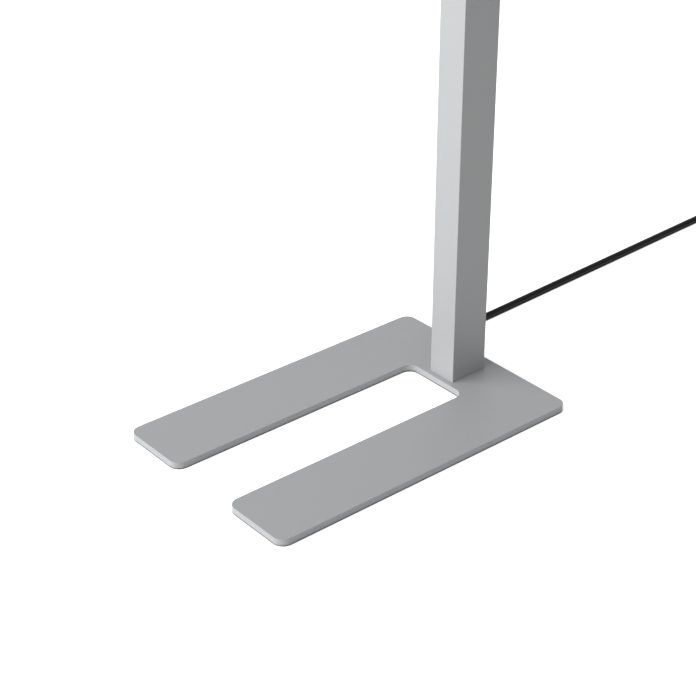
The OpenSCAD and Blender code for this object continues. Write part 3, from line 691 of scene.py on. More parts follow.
# --- The workshop: what every sub-assembly is made with --------------------------------


@dataclass
class Workshop:
    """Holds the frame and the materials, and turns meshes into finished pieces."""

    frame: dict[str, object]
    materials: dict[str, bpy.types.Material] = field(init=False)
    slots: dict[str, str] = field(init=False)

    def __post_init__(self) -> None:
        """Makes the materials and looks up each node's slot."""
        self.materials = {slot: finish.material() for slot, finish in FINISHES.items()}
        parts = self.frame["record"]["subparts"]
        self.slots = {part["node"]: part["material_slot"] for part in parts}

    def publish(
        self,
        bm: bmesh.types.BMesh,
        name: str,
        slot: str,
        body: Body,
        nodes: Sequence[str] = (),
        crease_deg: float = 38.0,
    ) -> bpy.types.Object:
        """Turns a bmesh into a finished piece of the lamp.

        Args:
            bm: The shape, in the lamp's own frame. It is freed.
            name: The piece's name.
            slot: The finish it takes.
            body: The body it rides on.
            nodes: The CAD nodes it stands for.
            crease_deg: The angle from which an edge stays sharp.

        Returns:
            The finished piece.
        """
        for face in bm.faces:
            face.smooth = True
        mesh = bpy.data.meshes.new(name)
        bm.to_mesh(mesh)
        bm.free()
        mesh.set_sharp_from_angle(angle=math.radians(crease_deg))
        mesh.materials.append(self.materials[slot])
        piece = put_in_scene(name, mesh)
        weighted = piece.modifiers.new("face_weighted_normals", "WEIGHTED_NORMAL")
        weighted.keep_sharp = True
        self.place(piece, slot, body, nodes)
        return piece

    def place(
        self, piece: bpy.types.Object, slot: str, body: Body, nodes: Sequence[str] = ()
    ) -> None:
        """Says which body a piece rides on, its finish and the nodes it stands for.

        Args:
            piece: The finished piece.
            slot: The finish it takes.
            body: The body it rides on.
            nodes: The CAD nodes it stands for.
        """
        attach(piece, body.value)
        if nodes:
            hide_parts(*nodes)
        LOG.info("made %s on %s in %s", piece.name, body.value, slot)

    def stand_in(
        self,
        bm: bmesh.types.BMesh,
        node: str,
        edge: float = 0.0,
        crease_deg: float = 38.0,
    ) -> bpy.types.Object:
        """Publishes a shape in the place, on the body and in the finish of a node.

        Args:
            bm: The shape. It is freed.
            node: The CAD node's name.
            edge: The rounding that its sharp edges still get, in mm.
            crease_deg: The angle from which an edge stays sharp.

        Returns:
            The finished piece.
        """
        if edge:
            soften(bm, edge)
        body = Body(self.frame["nodes"][node]["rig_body"])
        return self.publish(
            bm, f"{node}_finished", self.slots[node], body, [node], crease_deg
        )

    def softened(self, edges: dict[str, float]) -> list[bpy.types.Object]:
        """Stands for nodes with copies whose sharp edges are rounded.

        Args:
            edges: For each CAD node, the width of the rounding in mm.

        Returns:
            The finished pieces.
        """
        pieces = []
        for node, edge in edges.items():
            bm = bmesh.new()
            bm.from_mesh(self.frame["nodes"][node].data)
            bmesh.ops.remove_doubles(bm, verts=bm.verts, dist=WELD)
            bmesh.ops.dissolve_degenerate(bm, edges=bm.edges, dist=WELD)
            bmesh.ops.dissolve_limit(
                bm, angle_limit=math.radians(FLAT_DEG), verts=bm.verts, edges=bm.edges
            )
            pieces.append(self.stand_in(bm, node, edge))
        return pieces

    def dress_rest(self) -> None:
        """Gives every CAD node that still shows its finish."""
        for node, piece in sorted(self.frame["nodes"].items()):
            if piece.hide_render:
                continue
            piece.data.materials.clear()
            piece.data.materials.append(self.materials[self.slots[node]])
            LOG.info("dressed %s in %s", node, self.slots[node])


def rim(bm: bmesh.types.BMesh) -> list[bmesh.types.BMEdge]:
    """Lists the edges that go round a shape's openings."""
    return [edge for edge in bm.edges if edge.is_boundary]


def soften(
    bm: bmesh.types.BMesh, width: float, segments: int = 2, sharp_deg: float = 30.0
) -> None:
    """Rounds the sharp edges of a shape.

    Args:
        bm: The shape.
        width: The width of the rounding, in mm.
        segments: The number of steps in it.
        sharp_deg: The angle from which an edge is rounded.
    """
    sharp = [
        edge
        for edge in bm.edges
        if len(edge.link_faces) == 2 and edge.calc_face_angle(0.0) > math.radians(sharp_deg)
    ]
    bmesh.ops.bevel(
        bm,
        geom=sharp,
        offset=width * MM,
        offset_type="OFFSET",
        affect="EDGES",
        segments=segments,
        profile=0.5,
        material=-1,
        clamp_overlap=True,
    )


def set_up(
    bm: bmesh.types.BMesh, verts: Sequence[bmesh.types.BMVert], at: Point, facing: Vector
) -> None:
    """Turns +Z of a shape to a direction and moves its origin to a point.

    Args:
        bm: The shape.
        verts: The corners that move.
        at: The point, in mm.
        facing: The direction.
    """
    turn = UP.rotation_difference(facing).to_matrix().to_4x4()
    bmesh.ops.transform(bm, matrix=Matrix.Translation(Vector(at) * MM) @ turn, verts=verts)


def turned(
    bm: bmesh.types.BMesh,
    profile: Profile,
    at: Point,
    facing: Vector,
    steps: int = 48,
    bored: bool = False,
    arc: float = FULL_TURN,
) -> None:
    """Adds what a lathe would make of a profile.

    Args:
        bm: The bmesh that it is added to.
        profile: The radius and the height of each point, in mm.
        at: The point at height 0, in mm.
        facing: The direction that the height goes up in.
        steps: The number of steps round the axis.
        bored: Whether the profile closes on itself, clear of the axis.
        arc: How far round it goes. Where that is less than a full turn, its ends are closed.
    """
    verts = [bm.verts.new((radius * MM, 0, along * MM)) for radius, along in profile]
    edges = [bm.edges.new(pair) for pair in zip(verts, verts[1:])]
    if bored:
        edges.append(bm.edges.new((verts[-1], verts[0])))
    before = set(bm.verts) - set(verts)
    bmesh.ops.spin(
        bm,
        geom=[*verts, *edges],
        cent=(0, 0, 0),
        axis=(0, 0, 1),
        dvec=(0, 0, 0),
        angle=arc,
        steps=steps,
        use_merge=arc == FULL_TURN,
        use_normal_flip=False,
        use_duplicate=False,
    )
    made = [vert for vert in bm.verts if vert not in before]
    bmesh.ops.remove_doubles(bm, verts=made, dist=WELD)
    made = [vert for vert in bm.verts if vert not in before]
    if arc != FULL_TURN:
        bmesh.ops.holes_fill(bm, edges=rim(bm))
    bmesh.ops.recalc_face_normals(bm, faces=bm.faces)
    set_up(bm, made, at, facing)


def bar(bm: bmesh.types.BMesh, size: Point, at: Point, facing: Vector = UP) -> None:
    """Adds a small bar, centred on a point.

    Args:
        bm: The bmesh that it is added to.
        size: Its width, depth and height, before it turns, in mm.
        at: Its middle, in mm.
        facing: The direction that its height turns to.
    """
    made = bmesh.ops.create_cube(bm, size=MM)["verts"]
    bmesh.ops.scale(bm, vec=size, verts=made)
    set_up(bm, made, at, facing)


@dataclass(frozen=True)
class BendRelief:
    """A ribbed sleeve that tapers along the cord and keeps it from kinking."""

    ribs: int
    tip_d: float = 10.4
    root_d: float = 13.0
    groove: float = 1.1
    # The share of the groove's depth next to the tip. Next to the root it is all of it.
    tip_share: float = 0.35
    edge: float = 0.15
    # Along one rib: how far along it, and the share of the groove's depth there.
    rib: tuple[tuple[float, float], ...] = ((0.0, 0.0), (0.5, 0.0), (0.62, 1.0), (0.88, 1.0))

    def profile(self, length: float) -> Profile:
        """Draws the outer profile, from the tip to the root.

        Args:
            length: The sleeve's length, in mm.

        Returns:
            The radius and the height of each point.
        """
        points = []
        for number in range(self.ribs):
            deepest = self.groove if number < self.ribs - 1 else 0.0
            for share, depth in self.rib:
                along = (number + share) / self.ribs
                radius = (self.tip_d + (self.root_d - self.tip_d) * along) / 2
                cut = depth * deepest * (self.tip_share + (1 - self.tip_share) * along)
                points.append((radius - cut, along * length))
        return [*points, (self.root_d / 2, length)]


@dataclass
class SubAssembly(ABC):
    """A part of the lamp. It holds its own sizes and the workshop it is made in."""

    shop: Workshop

    @abstractmethod
    def build(self) -> None:
        """Makes its pieces."""


# --- Base ------------------------------------------------------------------------------


@dataclass
class Base(SubAssembly):
    """The U-shaped steel plate on its rubber pads."""

    edges: dict[str, float] = field(
        default_factory=lambda: {"base_plate": 0.4, "base_screws": 0.12}
    )
    arm_w: float = 100.0
    pad_d: float = 20.0
    pad_t: float = 2.5
    pad_inset: float = 20.0
    pad_chamfer: float = 0.8
    # The grip's round grooves: the inner and outer radius of each, and their depth.
    grooves: tuple[Span, ...] = ((2.2, 3.6), (5.4, 6.8))
    groove_t: float = 0.5

    def build(self) -> None:
        """Makes the plate, the pads and the screws under the plate."""
        self.shop.softened(self.edges)
        low, _, high = corners("base_plate")
        rear, front = high.y - self.pad_inset, low.y + self.pad_inset
        side, arm = high.x - self.pad_inset, high.x - self.arm_w / 2
        radius = self.pad_d / 2
        profile = [(0, 0)]
        for inner, outer in self.grooves:
            profile += [(inner, 0), (inner, self.groove_t), (outer, self.groove_t), (outer, 0)]
        profile += [(radius - self.pad_chamfer, 0), (radius, self.pad_chamfer)]
        profile += [(radius, self.pad_t), (0, self.pad_t)]
        bm = bmesh.new()
        for x, y in ((0, 0), (-side, rear), (side, rear), (-arm, front), (arm, front)):
            turned(bm, profile, (x, y, 0), UP, steps=40)
        self.shop.stand_in(bm, "foot_pads")


# --- Post ------------------------------------------------------------------------------


@dataclass
class Post(SubAssembly):
    """The extruded post with its screws, its cord outlet and the swivel on top."""

    edges: dict[str, float] = field(
        default_factory=lambda: {
            "post_tube": 0.3,
            "post_top_block": 0.3,
            "thrust_washer": 0.2,
            "foot_side_screws": 0.1,
            "tray_screws": 0.1,
            "top_side_screws": 0.1,
            "cord_gland": 0.35,
        }
    )
    boot: BendRelief = BendRelief(ribs=6)
    boot_lip: float = 2.0
    boot_gap: float = 0.1

    def build(self) -> None:
        """Makes the pieces of the post that show."""
        self.shop.softened(self.edges)
        low, middle, high = corners("cord_boot")
        # The soft tip reaches a little further along the cord than the solid does.
        tip = low.x - self.boot_lip
        length = high.x - tip
        bore = CORD_D / 2 + self.boot_gap
        profile = [(bore, 0), *self.boot.profile(length), (bore, length)]
        bm = bmesh.new()
        turned(bm, profile, (tip, middle.y, middle.z), Vector((1, 0, 0)), bored=True)
        self.shop.stand_in(bm, "cord_boot", self.boot.edge)


# --- Controls --------------------------------------------------------------------------


@dataclass
class Controls(SubAssembly):
    """The control panel in the post's front: three push buttons and a status light."""

    panel_edge: float = 0.35
    button_edge: float = 0.25
    button_d: float = 13.0
    flange_d: float = 15.4
    flange_at: float = 4.1
    stem_at: float = 5.3
    stem_d: float = 4.0
    dish_d: float = 10.4
    dish: float = 0.3
    dish_slope: float = 0.3
    # The signs: their half width, their lines and how far they stand out.
    mark_r: float = 2.6
    line: float = 0.7
    proud: float = 0.12
    # The on/off sign: the gap in its ring, and its stroke as a share of the radius.
    ring_gap_deg: float = 70.0
    stroke_share: float = 1.1
    # The plus sign's upright is this much thinner, so that its faces don't coincide.
    upright_share: float = 0.9
    # The status light's domed end: the radius and the depth of each point.
    dome: tuple[tuple[float, float], ...] = (
        (0, 0), (0.5, 0.03), (0.9, 0.14), (1.1, 0.3), (1.2, 0.5),
    )  # fmt: skip

    def button(self, node: str) -> Vector:
        """Makes one push button with its shallow dish.

        Args:
            node: The CAD node it stands for.

        Returns:
            The middle of the dish, in mm.
        """
        low, middle, high = corners(node)
        radius, dish_r = self.button_d / 2, self.dish_d / 2
        flange_r, stem_r, length = self.flange_d / 2, self.stem_d / 2, high.y - low.y
        profile = [
            (0, self.dish), (dish_r - self.dish_slope, self.dish),
            (dish_r + self.dish_slope, 0), (radius, 0),
            (radius, self.flange_at), (flange_r, self.flange_at),
            (flange_r, self.stem_at), (stem_r, self.stem_at),
            (stem_r, length), (0, length),
        ]  # fmt: skip
        bm = bmesh.new()
        turned(bm, profile, (middle.x, low.y, middle.z), INWARD, steps=64)
        self.shop.stand_in(bm, node, self.button_edge)
        return Vector((middle.x, low.y + self.dish, middle.z))

    def on_off_mark(self, bm: bmesh.types.BMesh, at: Vector) -> None:
        """Adds the plain on/off sign: an open ring and a stroke.

        Args:
            bm: The bmesh that it is added to.
            at: The middle of the ring, in mm.
        """
        inner, outer = self.mark_r - self.line / 2, self.mark_r + self.line / 2
        profile = [(inner, 0), (outer, 0), (outer, self.proud), (inner, self.proud)]
        gap = math.radians(self.ring_gap_deg)
        turned(bm, profile, (0, 0, 0), UP, steps=40, bored=True, arc=FULL_TURN - gap)
        start = Matrix.Rotation(math.radians(90) + gap / 2, 4, "Z")
        bmesh.ops.transform(bm, matrix=start, verts=bm.verts)
        stroke = (self.line, self.mark_r * self.stroke_share, self.proud)
        bar(bm, stroke, (0, self.mark_r, self.proud / 2))
        set_up(bm, bm.verts, at, -INWARD)

    def sign(self, node: str, body: Body, at: Vector) -> None:
        """Makes a button's sign: on/off, plus or minus.

        Args:
            node: The button's CAD node.
            body: The body that it rides on.
            at: The middle of the dish, in mm.
        """
        bm = bmesh.new()
        if body is Body.ON_OFF:
            self.on_off_mark(bm, at)
        else:
            face = at + Vector((0, -self.proud / 2, 0))
            bar(bm, (2 * self.mark_r, self.proud, self.line), face)
            if body is Body.BRIGHTER:
                upright = (self.line, self.proud * self.upright_share, 2 * self.mark_r)
                bar(bm, upright, face)
        self.shop.publish(bm, f"{node}_sign", "white_plastic", body)

    def status_light(self) -> None:
        """Makes the light pipe with its domed end."""
        low, middle, high = corners("status_light_pipe")
        depth = high.y - low.y
        profile = [*self.dome, (self.dome[-1][0], depth), (0, depth)]
        bm = bmesh.new()
        turned(bm, profile, (middle.x, low.y, middle.z), INWARD, steps=32)
        self.shop.stand_in(bm, "status_light_pipe")

    def build(self) -> None:
        """Makes the panel, the buttons with their signs and the status light."""
        self.shop.softened({"control_bezel": self.panel_edge})
        for node, body in (
            ("power_button", Body.ON_OFF),
            ("brighter_button", Body.BRIGHTER),
            ("dimmer_button", Body.DIMMER),
        ):
            self.sign(node, body, self.button(node))
        self.status_light()


# --- Head ------------------------------------------------------------------------------


@dataclass
class Head(SubAssembly):
    """The slim head: two painted shells, the clear panels and the presence sensor."""

    edges: dict[str, float] = field(
        default_factory=lambda: {
            "head_housing": 0.5,
            "head_cover": 0.3,
            "cover_screws": 0.1,
            "prism_panel": 0.3,
            "opal_sheet": 0.2,
            "uplight_windows": 0.25,
            "sensor_ring": 0.3,
        }
    )
    # The lens is cut from a ball: its radius, how high its centre lies over the rim, and
    # the height of the rim.
    ball_r: float = 12.87
    ball_rise: float = 7.92
    rim_h: float = 3.0
    # Nearly every edge stays sharp, because the lens is cut in flat facets, each of which
    # watches its own part of the room.
    facet_deg: float = 1.0

    def lens(self) -> None:
        """Makes the sensor's faceted lens."""
        low, middle, high = (corner * MM for corner in corners("sensor_lens"))
        floor = high.z - self.rim_h * MM
        centre = Vector((middle.x, middle.y, floor + self.ball_rise * MM))
        bm = bmesh.new()
        bmesh.ops.create_icosphere(bm, subdivisions=3, radius=self.ball_r * MM)
        bmesh.ops.translate(bm, vec=centre, verts=bm.verts)
        bmesh.ops.bisect_plane(
            bm,
            geom=[*bm.verts, *bm.edges, *bm.faces],
            plane_co=(0, 0, floor),
            plane_no=(0, 0, 1),
            clear_outer=True,
        )
        raised = bmesh.ops.extrude_edge_only(bm, edges=rim(bm))["geom"]
        lifted = [item for item in raised if isinstance(item, bmesh.types.BMVert)]
        bmesh.ops.translate(bm, vec=(0, 0, high.z - floor), verts=lifted)
        bmesh.ops.holes_fill(bm, edges=rim(bm))
        centre.z = 0
        widest = max((vert.co.xy - centre.xy).length for vert in bm.verts)
        shrink = (high.x - low.x) / 2 / widest
        about = Matrix.Translation(-centre)
        bmesh.ops.scale(bm, vec=(shrink, shrink, 1), space=about, verts=bm.verts)
        bmesh.ops.recalc_face_normals(bm, faces=bm.faces)
        self.shop.stand_in(bm, "sensor_lens", crease_deg=self.facet_deg)

    def build(self) -> None:
        """Makes the pieces of the head that show."""
        self.shop.softened(self.edges)
        self.lens()


# --- Mains cord ------------------------------------------------------------------------


@dataclass
class MainsCord(SubAssembly):
    """The black mains lead: its run over the floor, its coil, tie and plug."""

    length_m: float = 2.53
    coil_centre: tuple[float, float] = (-42.4, 668.0)
    outer_turn: float = 60.0
    turn_pitch: float = 9.0
    low_level: float = 5.9
    start_deg: float = -180.0
    end_deg: float = 1800.0
    # Where the winding goes one turn in or out, and where it climbs one layer.
    inward_deg: tuple[Span, ...] = ((80, 180), (440, 540))
    outward_deg: tuple[Span, ...] = ((969, 1069), (1329, 1429))
    climb_deg: tuple[Span, ...] = ((700, 840), (1630, 1755))
    steps_per_turn: int = 24
    # The run from the outlet over the floor to the coil.
    run: tuple[Point, ...] = (
        (-41.5, 17, 46), (-46.1, 17, 46), (-55, 18.8, 45.1), (-63.3, 22.4, 43.5),
        (-70.6, 27.5, 41.1), (-76.4, 34, 38.1), (-80.5, 41.4, 34.6), (-82.7, 49.5, 30.9),
        (-83, 61.7, 25.2), (-83.2, 71.4, 20.6), (-83.5, 83.8, 14.8), (-83.7, 94.7, 9.8),
        (-84, 106.6, 6.2), (-84.3, 118.8, 4.4), (-84.6, 133, 4.4), (-84.7, 146, 4.4),
        (-85.4, 167, 4.4), (-86.2, 190, 4.4), (-87, 213, 4.4), (-87.8, 236, 4.4),
        (-88.6, 259, 4.4), (-89.4, 282, 4.4), (-90.2, 305, 4.4), (-91, 328, 4.4),
        (-91.8, 351, 4.4), (-92.6, 374, 4.4), (-93.4, 397, 4.4), (-94.2, 420, 4.4),
        (-95, 443, 4.4), (-95.8, 466, 4.4), (-96.6, 489, 4.4), (-97.4, 512, 4.4),
        (-98.2, 535, 4.4), (-99, 558, 4.4), (-99.7, 581, 4.4), (-100.5, 604, 4.4),
        (-101.2, 626, 4.7), (-101.9, 648, 5.4),
    )  # fmt: skip
    # The end that leaves the coil for the plug: its distance from the coil, and its height.
    tail: tuple[tuple[float, float], ...] = (
        (8, 23.9), (18, 23.4), (28, 21.6), (38, 18.4), (47, 15.2), (55, 13.3), (61, 13), (65, 13),
    )  # fmt: skip
    # The strap's rounding, and its loose end: how far round the coil it goes, from which
    # height to which, its thickness, its bevelled sides and its rounding.
    tie_edge: float = 0.35
    tie_end_deg: float = 14.85
    tie_end_z: Span = (3.0, 18.0)
    tie_end_t: float = 0.9
    tie_end_bevel: float = 0.4
    tie_end_edge: float = 0.2
    relief: BendRelief = BendRelief(ribs=7)
    pin_d: float = 4.8
    pin_pitch: float = 19.0
    pin_edge: float = 0.2
    # The pins' rounded tips: how much narrower, and how far back from the end.
    pin_tip: tuple[tuple[float, float], ...] = ((0, 1.6), (0.4, 0.5), (1.2, 0))
    # The earth strips: how far from the relief, how far apart, their size and rounding.
    strip_at: float = 33.0
    strip_apart: float = 25.5
    strip_size: Point = (6, 15, 0.5)
    strip_edge: float = 0.15
    # The plug's sections: distance from the relief, width, height and squareness.
    plug_sections: tuple[tuple[float, float, float, float], ...] = (
        (0.0, 15.0, 14.0, 0.9), (0.8, 18.5, 16.5, 0.8), (3.0, 23.5, 19.5, 0.7),
        (5.0, 25.4, 20.6, 0.6), (6.0, 24.0, 19.4, 0.6), (8.0, 24.0, 19.4, 0.6),
        (9.0, 26.0, 21.0, 0.6), (10.0, 24.6, 19.8, 0.6), (12.0, 24.6, 19.8, 0.6),
        (13.0, 27.4, 21.8, 0.55), (17.0, 32.5, 24.0, 0.52), (20.0, 36.2, 25.4, 0.5),
        (23.0, 37.8, 25.9, 0.5), (26.0, 38.0, 26.0, 0.5), (40.6, 38.0, 26.0, 0.5),
        (41.6, 37.2, 25.2, 0.5), (42.0, 35.6, 23.8, 0.5),
    )  # fmt: skip

    def winding(self) -> list[Vector]:
        """Works out the coil's turns.

        Returns:
            The points of the coil's line. It starts at the leftmost point at the bottom
            and goes clockwise, as seen from above, in two layers of nearly three turns
            each, the first inwards and the second outwards. Its end climbs onto them and
            stops at the rightmost point.
        """
        sweep = self.end_deg - self.start_deg
        steps = round(sweep / 360 * self.steps_per_turn)
        points = []
        for step in range(steps + 1):
            angle = self.start_deg + sweep * step / steps
            inward, outward, climbs = (
                sum(ease(angle, *stretch) for stretch in stretches)
                for stretches in (self.inward_deg, self.outward_deg, self.climb_deg)
            )
            radius = self.outer_turn + (outward - inward) * self.turn_pitch
            side = self.coil_centre[0] + radius * math.cos(math.radians(angle))
            front = self.coil_centre[1] - radius * math.sin(math.radians(angle))
            height = self.low_level + climbs * self.turn_pitch
            points.append(Vector((side, front, height)) * MM)
        return points

    def line(self) -> list[Vector]:
        """Joins the run, the winding and the tail.

        Returns:
            The points of the cord's whole line, in metres.
        """
        outward = [Vector(point) * MM for point in self.run]
        turns = self.winding()
        side, front = turns[-1].x, turns[-1].y
        end = [Vector((side, front - away * MM, height * MM)) for away, height in self.tail]
        return outward + turns + end

    def lead(self) -> bpy.types.Object:
        """Makes the cord as one curve.

        Returns:
            The cord.
        """
        points = self.line()
        curve = bpy.data.curves.new("mains_lead", "CURVE")
        curve.dimensions = "3D"
        curve.bevel_depth = CORD_D * MM / 2
        curve.bevel_resolution = 6
        curve.resolution_u = 3
        curve.use_fill_caps = True
        spline = curve.splines.new("NURBS")
        spline.points.add(len(points) - 1)
        for point, place in zip(spline.points, points):
            point.co = (*place, 1.0)
        spline.order_u = 3
        spline.use_endpoint_u = True
        curve.materials.append(self.shop.materials["cord_sheath"])
        cord = put_in_scene("mains_lead", curve)
        self.shop.place(cord, "cord_sheath", Body.STAND, ["mains_cord", "cord_coil"])
        return cord

    def tie(self) -> list[bpy.types.Object]:
        """Makes the strap round the coil and the end that is pressed onto it.

        Returns:
            The strap and its end.
        """
        pieces = self.shop.softened({"coil_tie": self.tie_edge})
        _, _, high = corners("coil_tie")
        inner = high.y - self.coil_centre[1]
        outer = inner + self.tie_end_t
        low, top = self.tie_end_z
        profile = [(inner, low), (outer, low + self.tie_end_bevel)]
        profile += [(outer, top - self.tie_end_bevel), (inner, top)]
        arc = math.radians(self.tie_end_deg)
        bm = bmesh.new()
        turned(bm, profile, (0, 0, 0), UP, steps=8, bored=True, arc=arc)
        start = Matrix.Rotation(math.pi / 2 - arc / 2, 4, "Z")
        move = Matrix.Translation(Vector((*self.coil_centre, 0)) * MM)
        bmesh.ops.transform(bm, matrix=move @ start, verts=bm.verts)
        soften(bm, self.tie_end_edge)
        return [*pieces, self.shop.publish(bm, "coil_tie_end", "tie_fabric", Body.STAND)]

    def sleeve(self, tip: Vector, length: float) -> bpy.types.Object:
        """Makes the plug's bend relief.

        Args:
            tip: Where the cord goes into it, in mm.
            length: Its length, in mm.

        Returns:
            The relief.
        """
        bm = bmesh.new()
        turned(bm, [(0, 0), *self.relief.profile(length), (0, length)], tip, TO_PLUG)
        return self.shop.stand_in(bm, "plug_sleeve", self.relief.edge)

    def plug_body(self, root: Vector) -> bpy.types.Object:
        """Makes the plug's moulded body with its finger grips, from section to section.

        Args:
            root: Where the bend relief meets it, in mm.

        Returns:
            The body.
        """
        bm = bmesh.new()
        loops = []
        for along, width, height, squareness in self.plug_sections:
            made = bmesh.ops.create_circle(bm, segments=64, radius=1.0)["verts"]
            for vert in made:
                for axis, size in ((0, width), (1, height)):
                    share = abs(vert.co[axis]) ** squareness
                    vert.co[axis] = math.copysign(share, vert.co[axis]) * size / 2 * MM
                vert.co.z = along * MM
            loops.append({edge for vert in made for edge in vert.link_edges})
        for near, far in zip(loops, loops[1:]):
            bmesh.ops.bridge_loops(bm, edges=[*near, *far])
        bmesh.ops.holes_fill(bm, edges=[*loops[0], *loops[-1]])
        bmesh.ops.recalc_face_normals(bm, faces=bm.faces)
        turn = Matrix.Rotation(math.pi / 2, 3, "X")
        bmesh.ops.rotate(bm, cent=(0, 0, 0), matrix=turn, verts=bm.verts)
        bmesh.ops.translate(bm, vec=root * MM, verts=bm.verts)
        return self.shop.stand_in(bm, "plug_body", crease_deg=50.0)

    def plug_pins(self) -> bpy.types.Object:
        """Makes the plug's two round pins.

        Returns:
            The pins, as one piece.
        """
        low, middle, high = corners("plug_pins")
        radius, reach = self.pin_d / 2, high.y - low.y
        profile = [(0, 0), (radius, 0)]
        profile += [(radius - narrower, reach - back) for narrower, back in self.pin_tip]
        profile += [(0, reach)]
        bm = bmesh.new()
        for side in (-1, 1):
            at = (middle.x + side * self.pin_pitch / 2, high.y, middle.z)
            turned(bm, profile, at, TO_PLUG, steps=32)
        return self.shop.stand_in(bm, "plug_pins", self.pin_edge)

    def earth_strips(self, root: Vector) -> bpy.types.Object:
        """Makes the earth strips above and below the plug's body.

        Args:
            root: Where the bend relief meets the body, in mm.

        Returns:
            The strips, as one piece.
        """
        bm = bmesh.new()
        for side in (-1, 1):
            at = (root.x, root.y - self.strip_at, root.z + side * self.strip_apart / 2)
            bar(bm, self.strip_size, at)
        soften(bm, self.strip_edge)
        return self.shop.publish(bm, "plug_earth_strips", "plated_brass", Body.STAND)

    def plug(self) -> list[bpy.types.Object]:
        """Makes the plug.

        Returns:
            Its bend relief, body, pins and earth strips.
        """
        low, middle, high = corners("plug_sleeve")
        tip = Vector((middle.x, high.y, middle.z))
        length = high.y - low.y
        root = tip + TO_PLUG * length
        return [
            self.sleeve(tip, length),
            self.plug_body(root),
            self.plug_pins(),
            self.earth_strips(root),
        ]

    def build(self) -> None:
        """Makes the cord, its tie and its plug, and logs the cord's length."""
        self.lead()
        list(self.tie())
        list(self.plug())
        LOG.info("the mains lead is %.2f m long", self.length_m)


# --- Studio ----------------------------------------------------------------------------


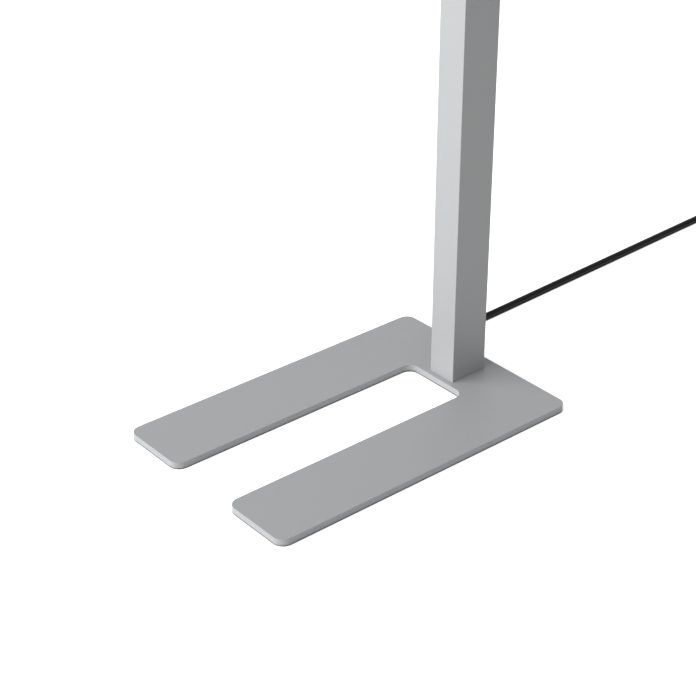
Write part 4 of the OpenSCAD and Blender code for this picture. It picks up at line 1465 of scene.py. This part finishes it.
@dataclass
class Studio:
    """The plain white studio: camera, floor, one broad soft lamp and a fill.

    Its sizes are in metres unless their names say otherwise.
    """

    camera_place: Point = (1.41034, -1.36604, 1.17386)
    camera_aim: Point = (-0.66337, 0.55604, -0.50076)
    lens_mm: float = 91.31
    sensor_mm: float = 36.0
    view_end: float = 50.0
    fill: float = 0.345
    key_watts: float = 660.0
    key_size: tuple[float, float] = (8.0, 6.0)
    key_distance: float = 6.5
    key_azimuth_deg: float = -18.0
    key_height_deg: float = 26.0
    key_aim: Point = (0, 0, 0.3)
    floor_colour: str = "#f4f4f4"
    floor_radius: float = 9.0
    floor_glow: float = 0.7
    # How close over the floor a piece has to be for a painted contact shade to darken the floor
    # under it, and the shares of open floor between which its glow comes back.
    painted_shade_mm: float = 3.0
    painted_shade_span: Span = (0.55, 0.8)

    def camera(self) -> None:
        """Sets up the camera where the photograph was taken from."""
        data = bpy.data.cameras.new("camera")
        data.sensor_width = self.sensor_mm
        data.lens = self.lens_mm
        data.clip_end = self.view_end
        camera = put_in_scene("camera", data)
        camera.location = self.camera_place
        camera.rotation_mode = "QUATERNION"
        camera.rotation_quaternion = Vector(self.camera_aim).to_track_quat("-Z", "Y")
        bpy.context.scene.camera = camera
        LOG.info("made the camera")

    def seen(self, tree: bpy.types.NodeTree) -> bpy.types.NodeSocket:
        """Finds the rays that should see plain white.

        Args:
            tree: The node tree of the world or the floor.

        Returns:
            An output that is 1 for rays from the camera, and for those that come off
            gloss or through glass.
        """
        path = add_node(tree, "ShaderNodeLightPath")
        found = path.outputs["Is Camera Ray"]
        for kind in ("Is Glossy Ray", "Is Transmission Ray"):
            found = calculate(tree, "MAXIMUM", found, path.outputs[kind])
        return found

    def world(self) -> None:
        """Makes the even fill light, with plain white where it is seen."""
        world = bpy.data.worlds.new("studio")
        bpy.context.scene.world = world
        world.use_nodes = True
        tree = world.node_tree
        tree.nodes.clear()
        fill, white = (
            add_node(
                tree, "ShaderNodeBackground", {"Color": linear(WHITE), "Strength": strength}
            ).outputs[0]
            for strength in (self.fill, 1.0)
        )
        mix = add_node(tree, "ShaderNodeMixShader", {0: self.seen(tree), 1: fill, 2: white})
        add_node(tree, "ShaderNodeOutputWorld", {"Surface": mix.outputs[0]})
        LOG.info("made the fill light")

    def floor_paper(self) -> bpy.types.Material:
        """Makes the floor's matt white paper, which is clear from below.

        Returns:
            The material. It looks plain white to the camera but for the lamp's shadow and a
            painted contact shade, and lights the lamp only by what falls on it.
        """
        material = bpy.data.materials.new("studio_floor")
        material.use_nodes = True
        tree = material.node_tree
        tree.nodes.clear()
        # Painted contact shade: the colour and the glow fade under what stands close over the
        # floor.
        inputs = {"Color": linear(self.floor_colour), "Distance": self.painted_shade_mm * MM}
        painted_contact_shade = add_node(tree, "ShaderNodeAmbientOcclusion", inputs, samples=16).outputs
        strength = remap(tree, painted_contact_shade["AO"], self.painted_shade_span, (0.0, self.floor_glow))
        inputs = {"Color": linear(WHITE), "Strength": strength}
        glow = add_node(tree, "ShaderNodeEmission", inputs).outputs[0]
        matt = add_node(tree, "ShaderNodeBsdfDiffuse", {"Color": painted_contact_shade["Color"]}).outputs[0]
        lit = add_node(tree, "ShaderNodeAddShader", {0: matt, 1: glow}).outputs[0]
        inputs = {0: self.seen(tree), 1: matt, 2: lit}
        above = add_node(tree, "ShaderNodeMixShader", inputs).outputs[0]
        side = add_node(tree, "ShaderNodeNewGeometry").outputs["Backfacing"]
        clear = add_node(tree, "ShaderNodeBsdfTransparent").outputs[0]
        both = add_node(tree, "ShaderNodeMixShader", {0: side, 1: above, 2: clear})
        add_node(tree, "ShaderNodeOutputMaterial", {"Surface": both.outputs[0]})
        return material

    def floor(self) -> None:
        """Makes the floor, which keeps the lamp's shadow and a painted contact shade."""
        bm = bmesh.new()
        bmesh.ops.create_circle(bm, cap_ends=True, segments=96, radius=self.floor_radius)
        mesh = bpy.data.meshes.new("floor")
        bm.to_mesh(mesh)
        bm.free()
        mesh.materials.append(self.floor_paper())
        put_in_scene("floor", mesh)
        LOG.info("made the floor")

    def key_lamp(self) -> None:
        """Makes the broad soft lamp, which lights the side that the arms point to."""
        data = bpy.data.lights.new("key", "AREA")
        data.shape = "RECTANGLE"
        data.size, data.size_y = self.key_size
        data.energy = self.key_watts
        lamp = put_in_scene("key", data)
        azimuth, height = map(math.radians, (self.key_azimuth_deg, self.key_height_deg))
        level = math.cos(height)
        towards = Vector(
            (math.sin(azimuth) * level, -math.cos(azimuth) * level, math.sin(height))
        )
        lamp.location = towards * self.key_distance + Vector(self.key_aim)
        lamp.rotation_mode = "QUATERNION"
        lamp.rotation_quaternion = (-towards).to_track_quat("-Z", "Y")
        LOG.info("made the key lamp")


# --- Main ------------------------------------------------------------------------------


def main() -> None:
    """Builds the lamp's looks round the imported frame."""
    logging.basicConfig(level=logging.INFO, format="%(name)s: %(message)s")
    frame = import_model()
    studio = Studio()
    studio.camera()
    shop = Workshop(frame)
    MainsCord(shop).build()
    studio.world()
    studio.floor()
    studio.key_lamp()
    bpy.context.scene.view_settings.view_transform = "Standard"
    for assembly in (Base(shop), Post(shop), Controls(shop), Head(shop)):
        assembly.build()
    shop.dress_rest()


if __name__ == "__main__":
    main()
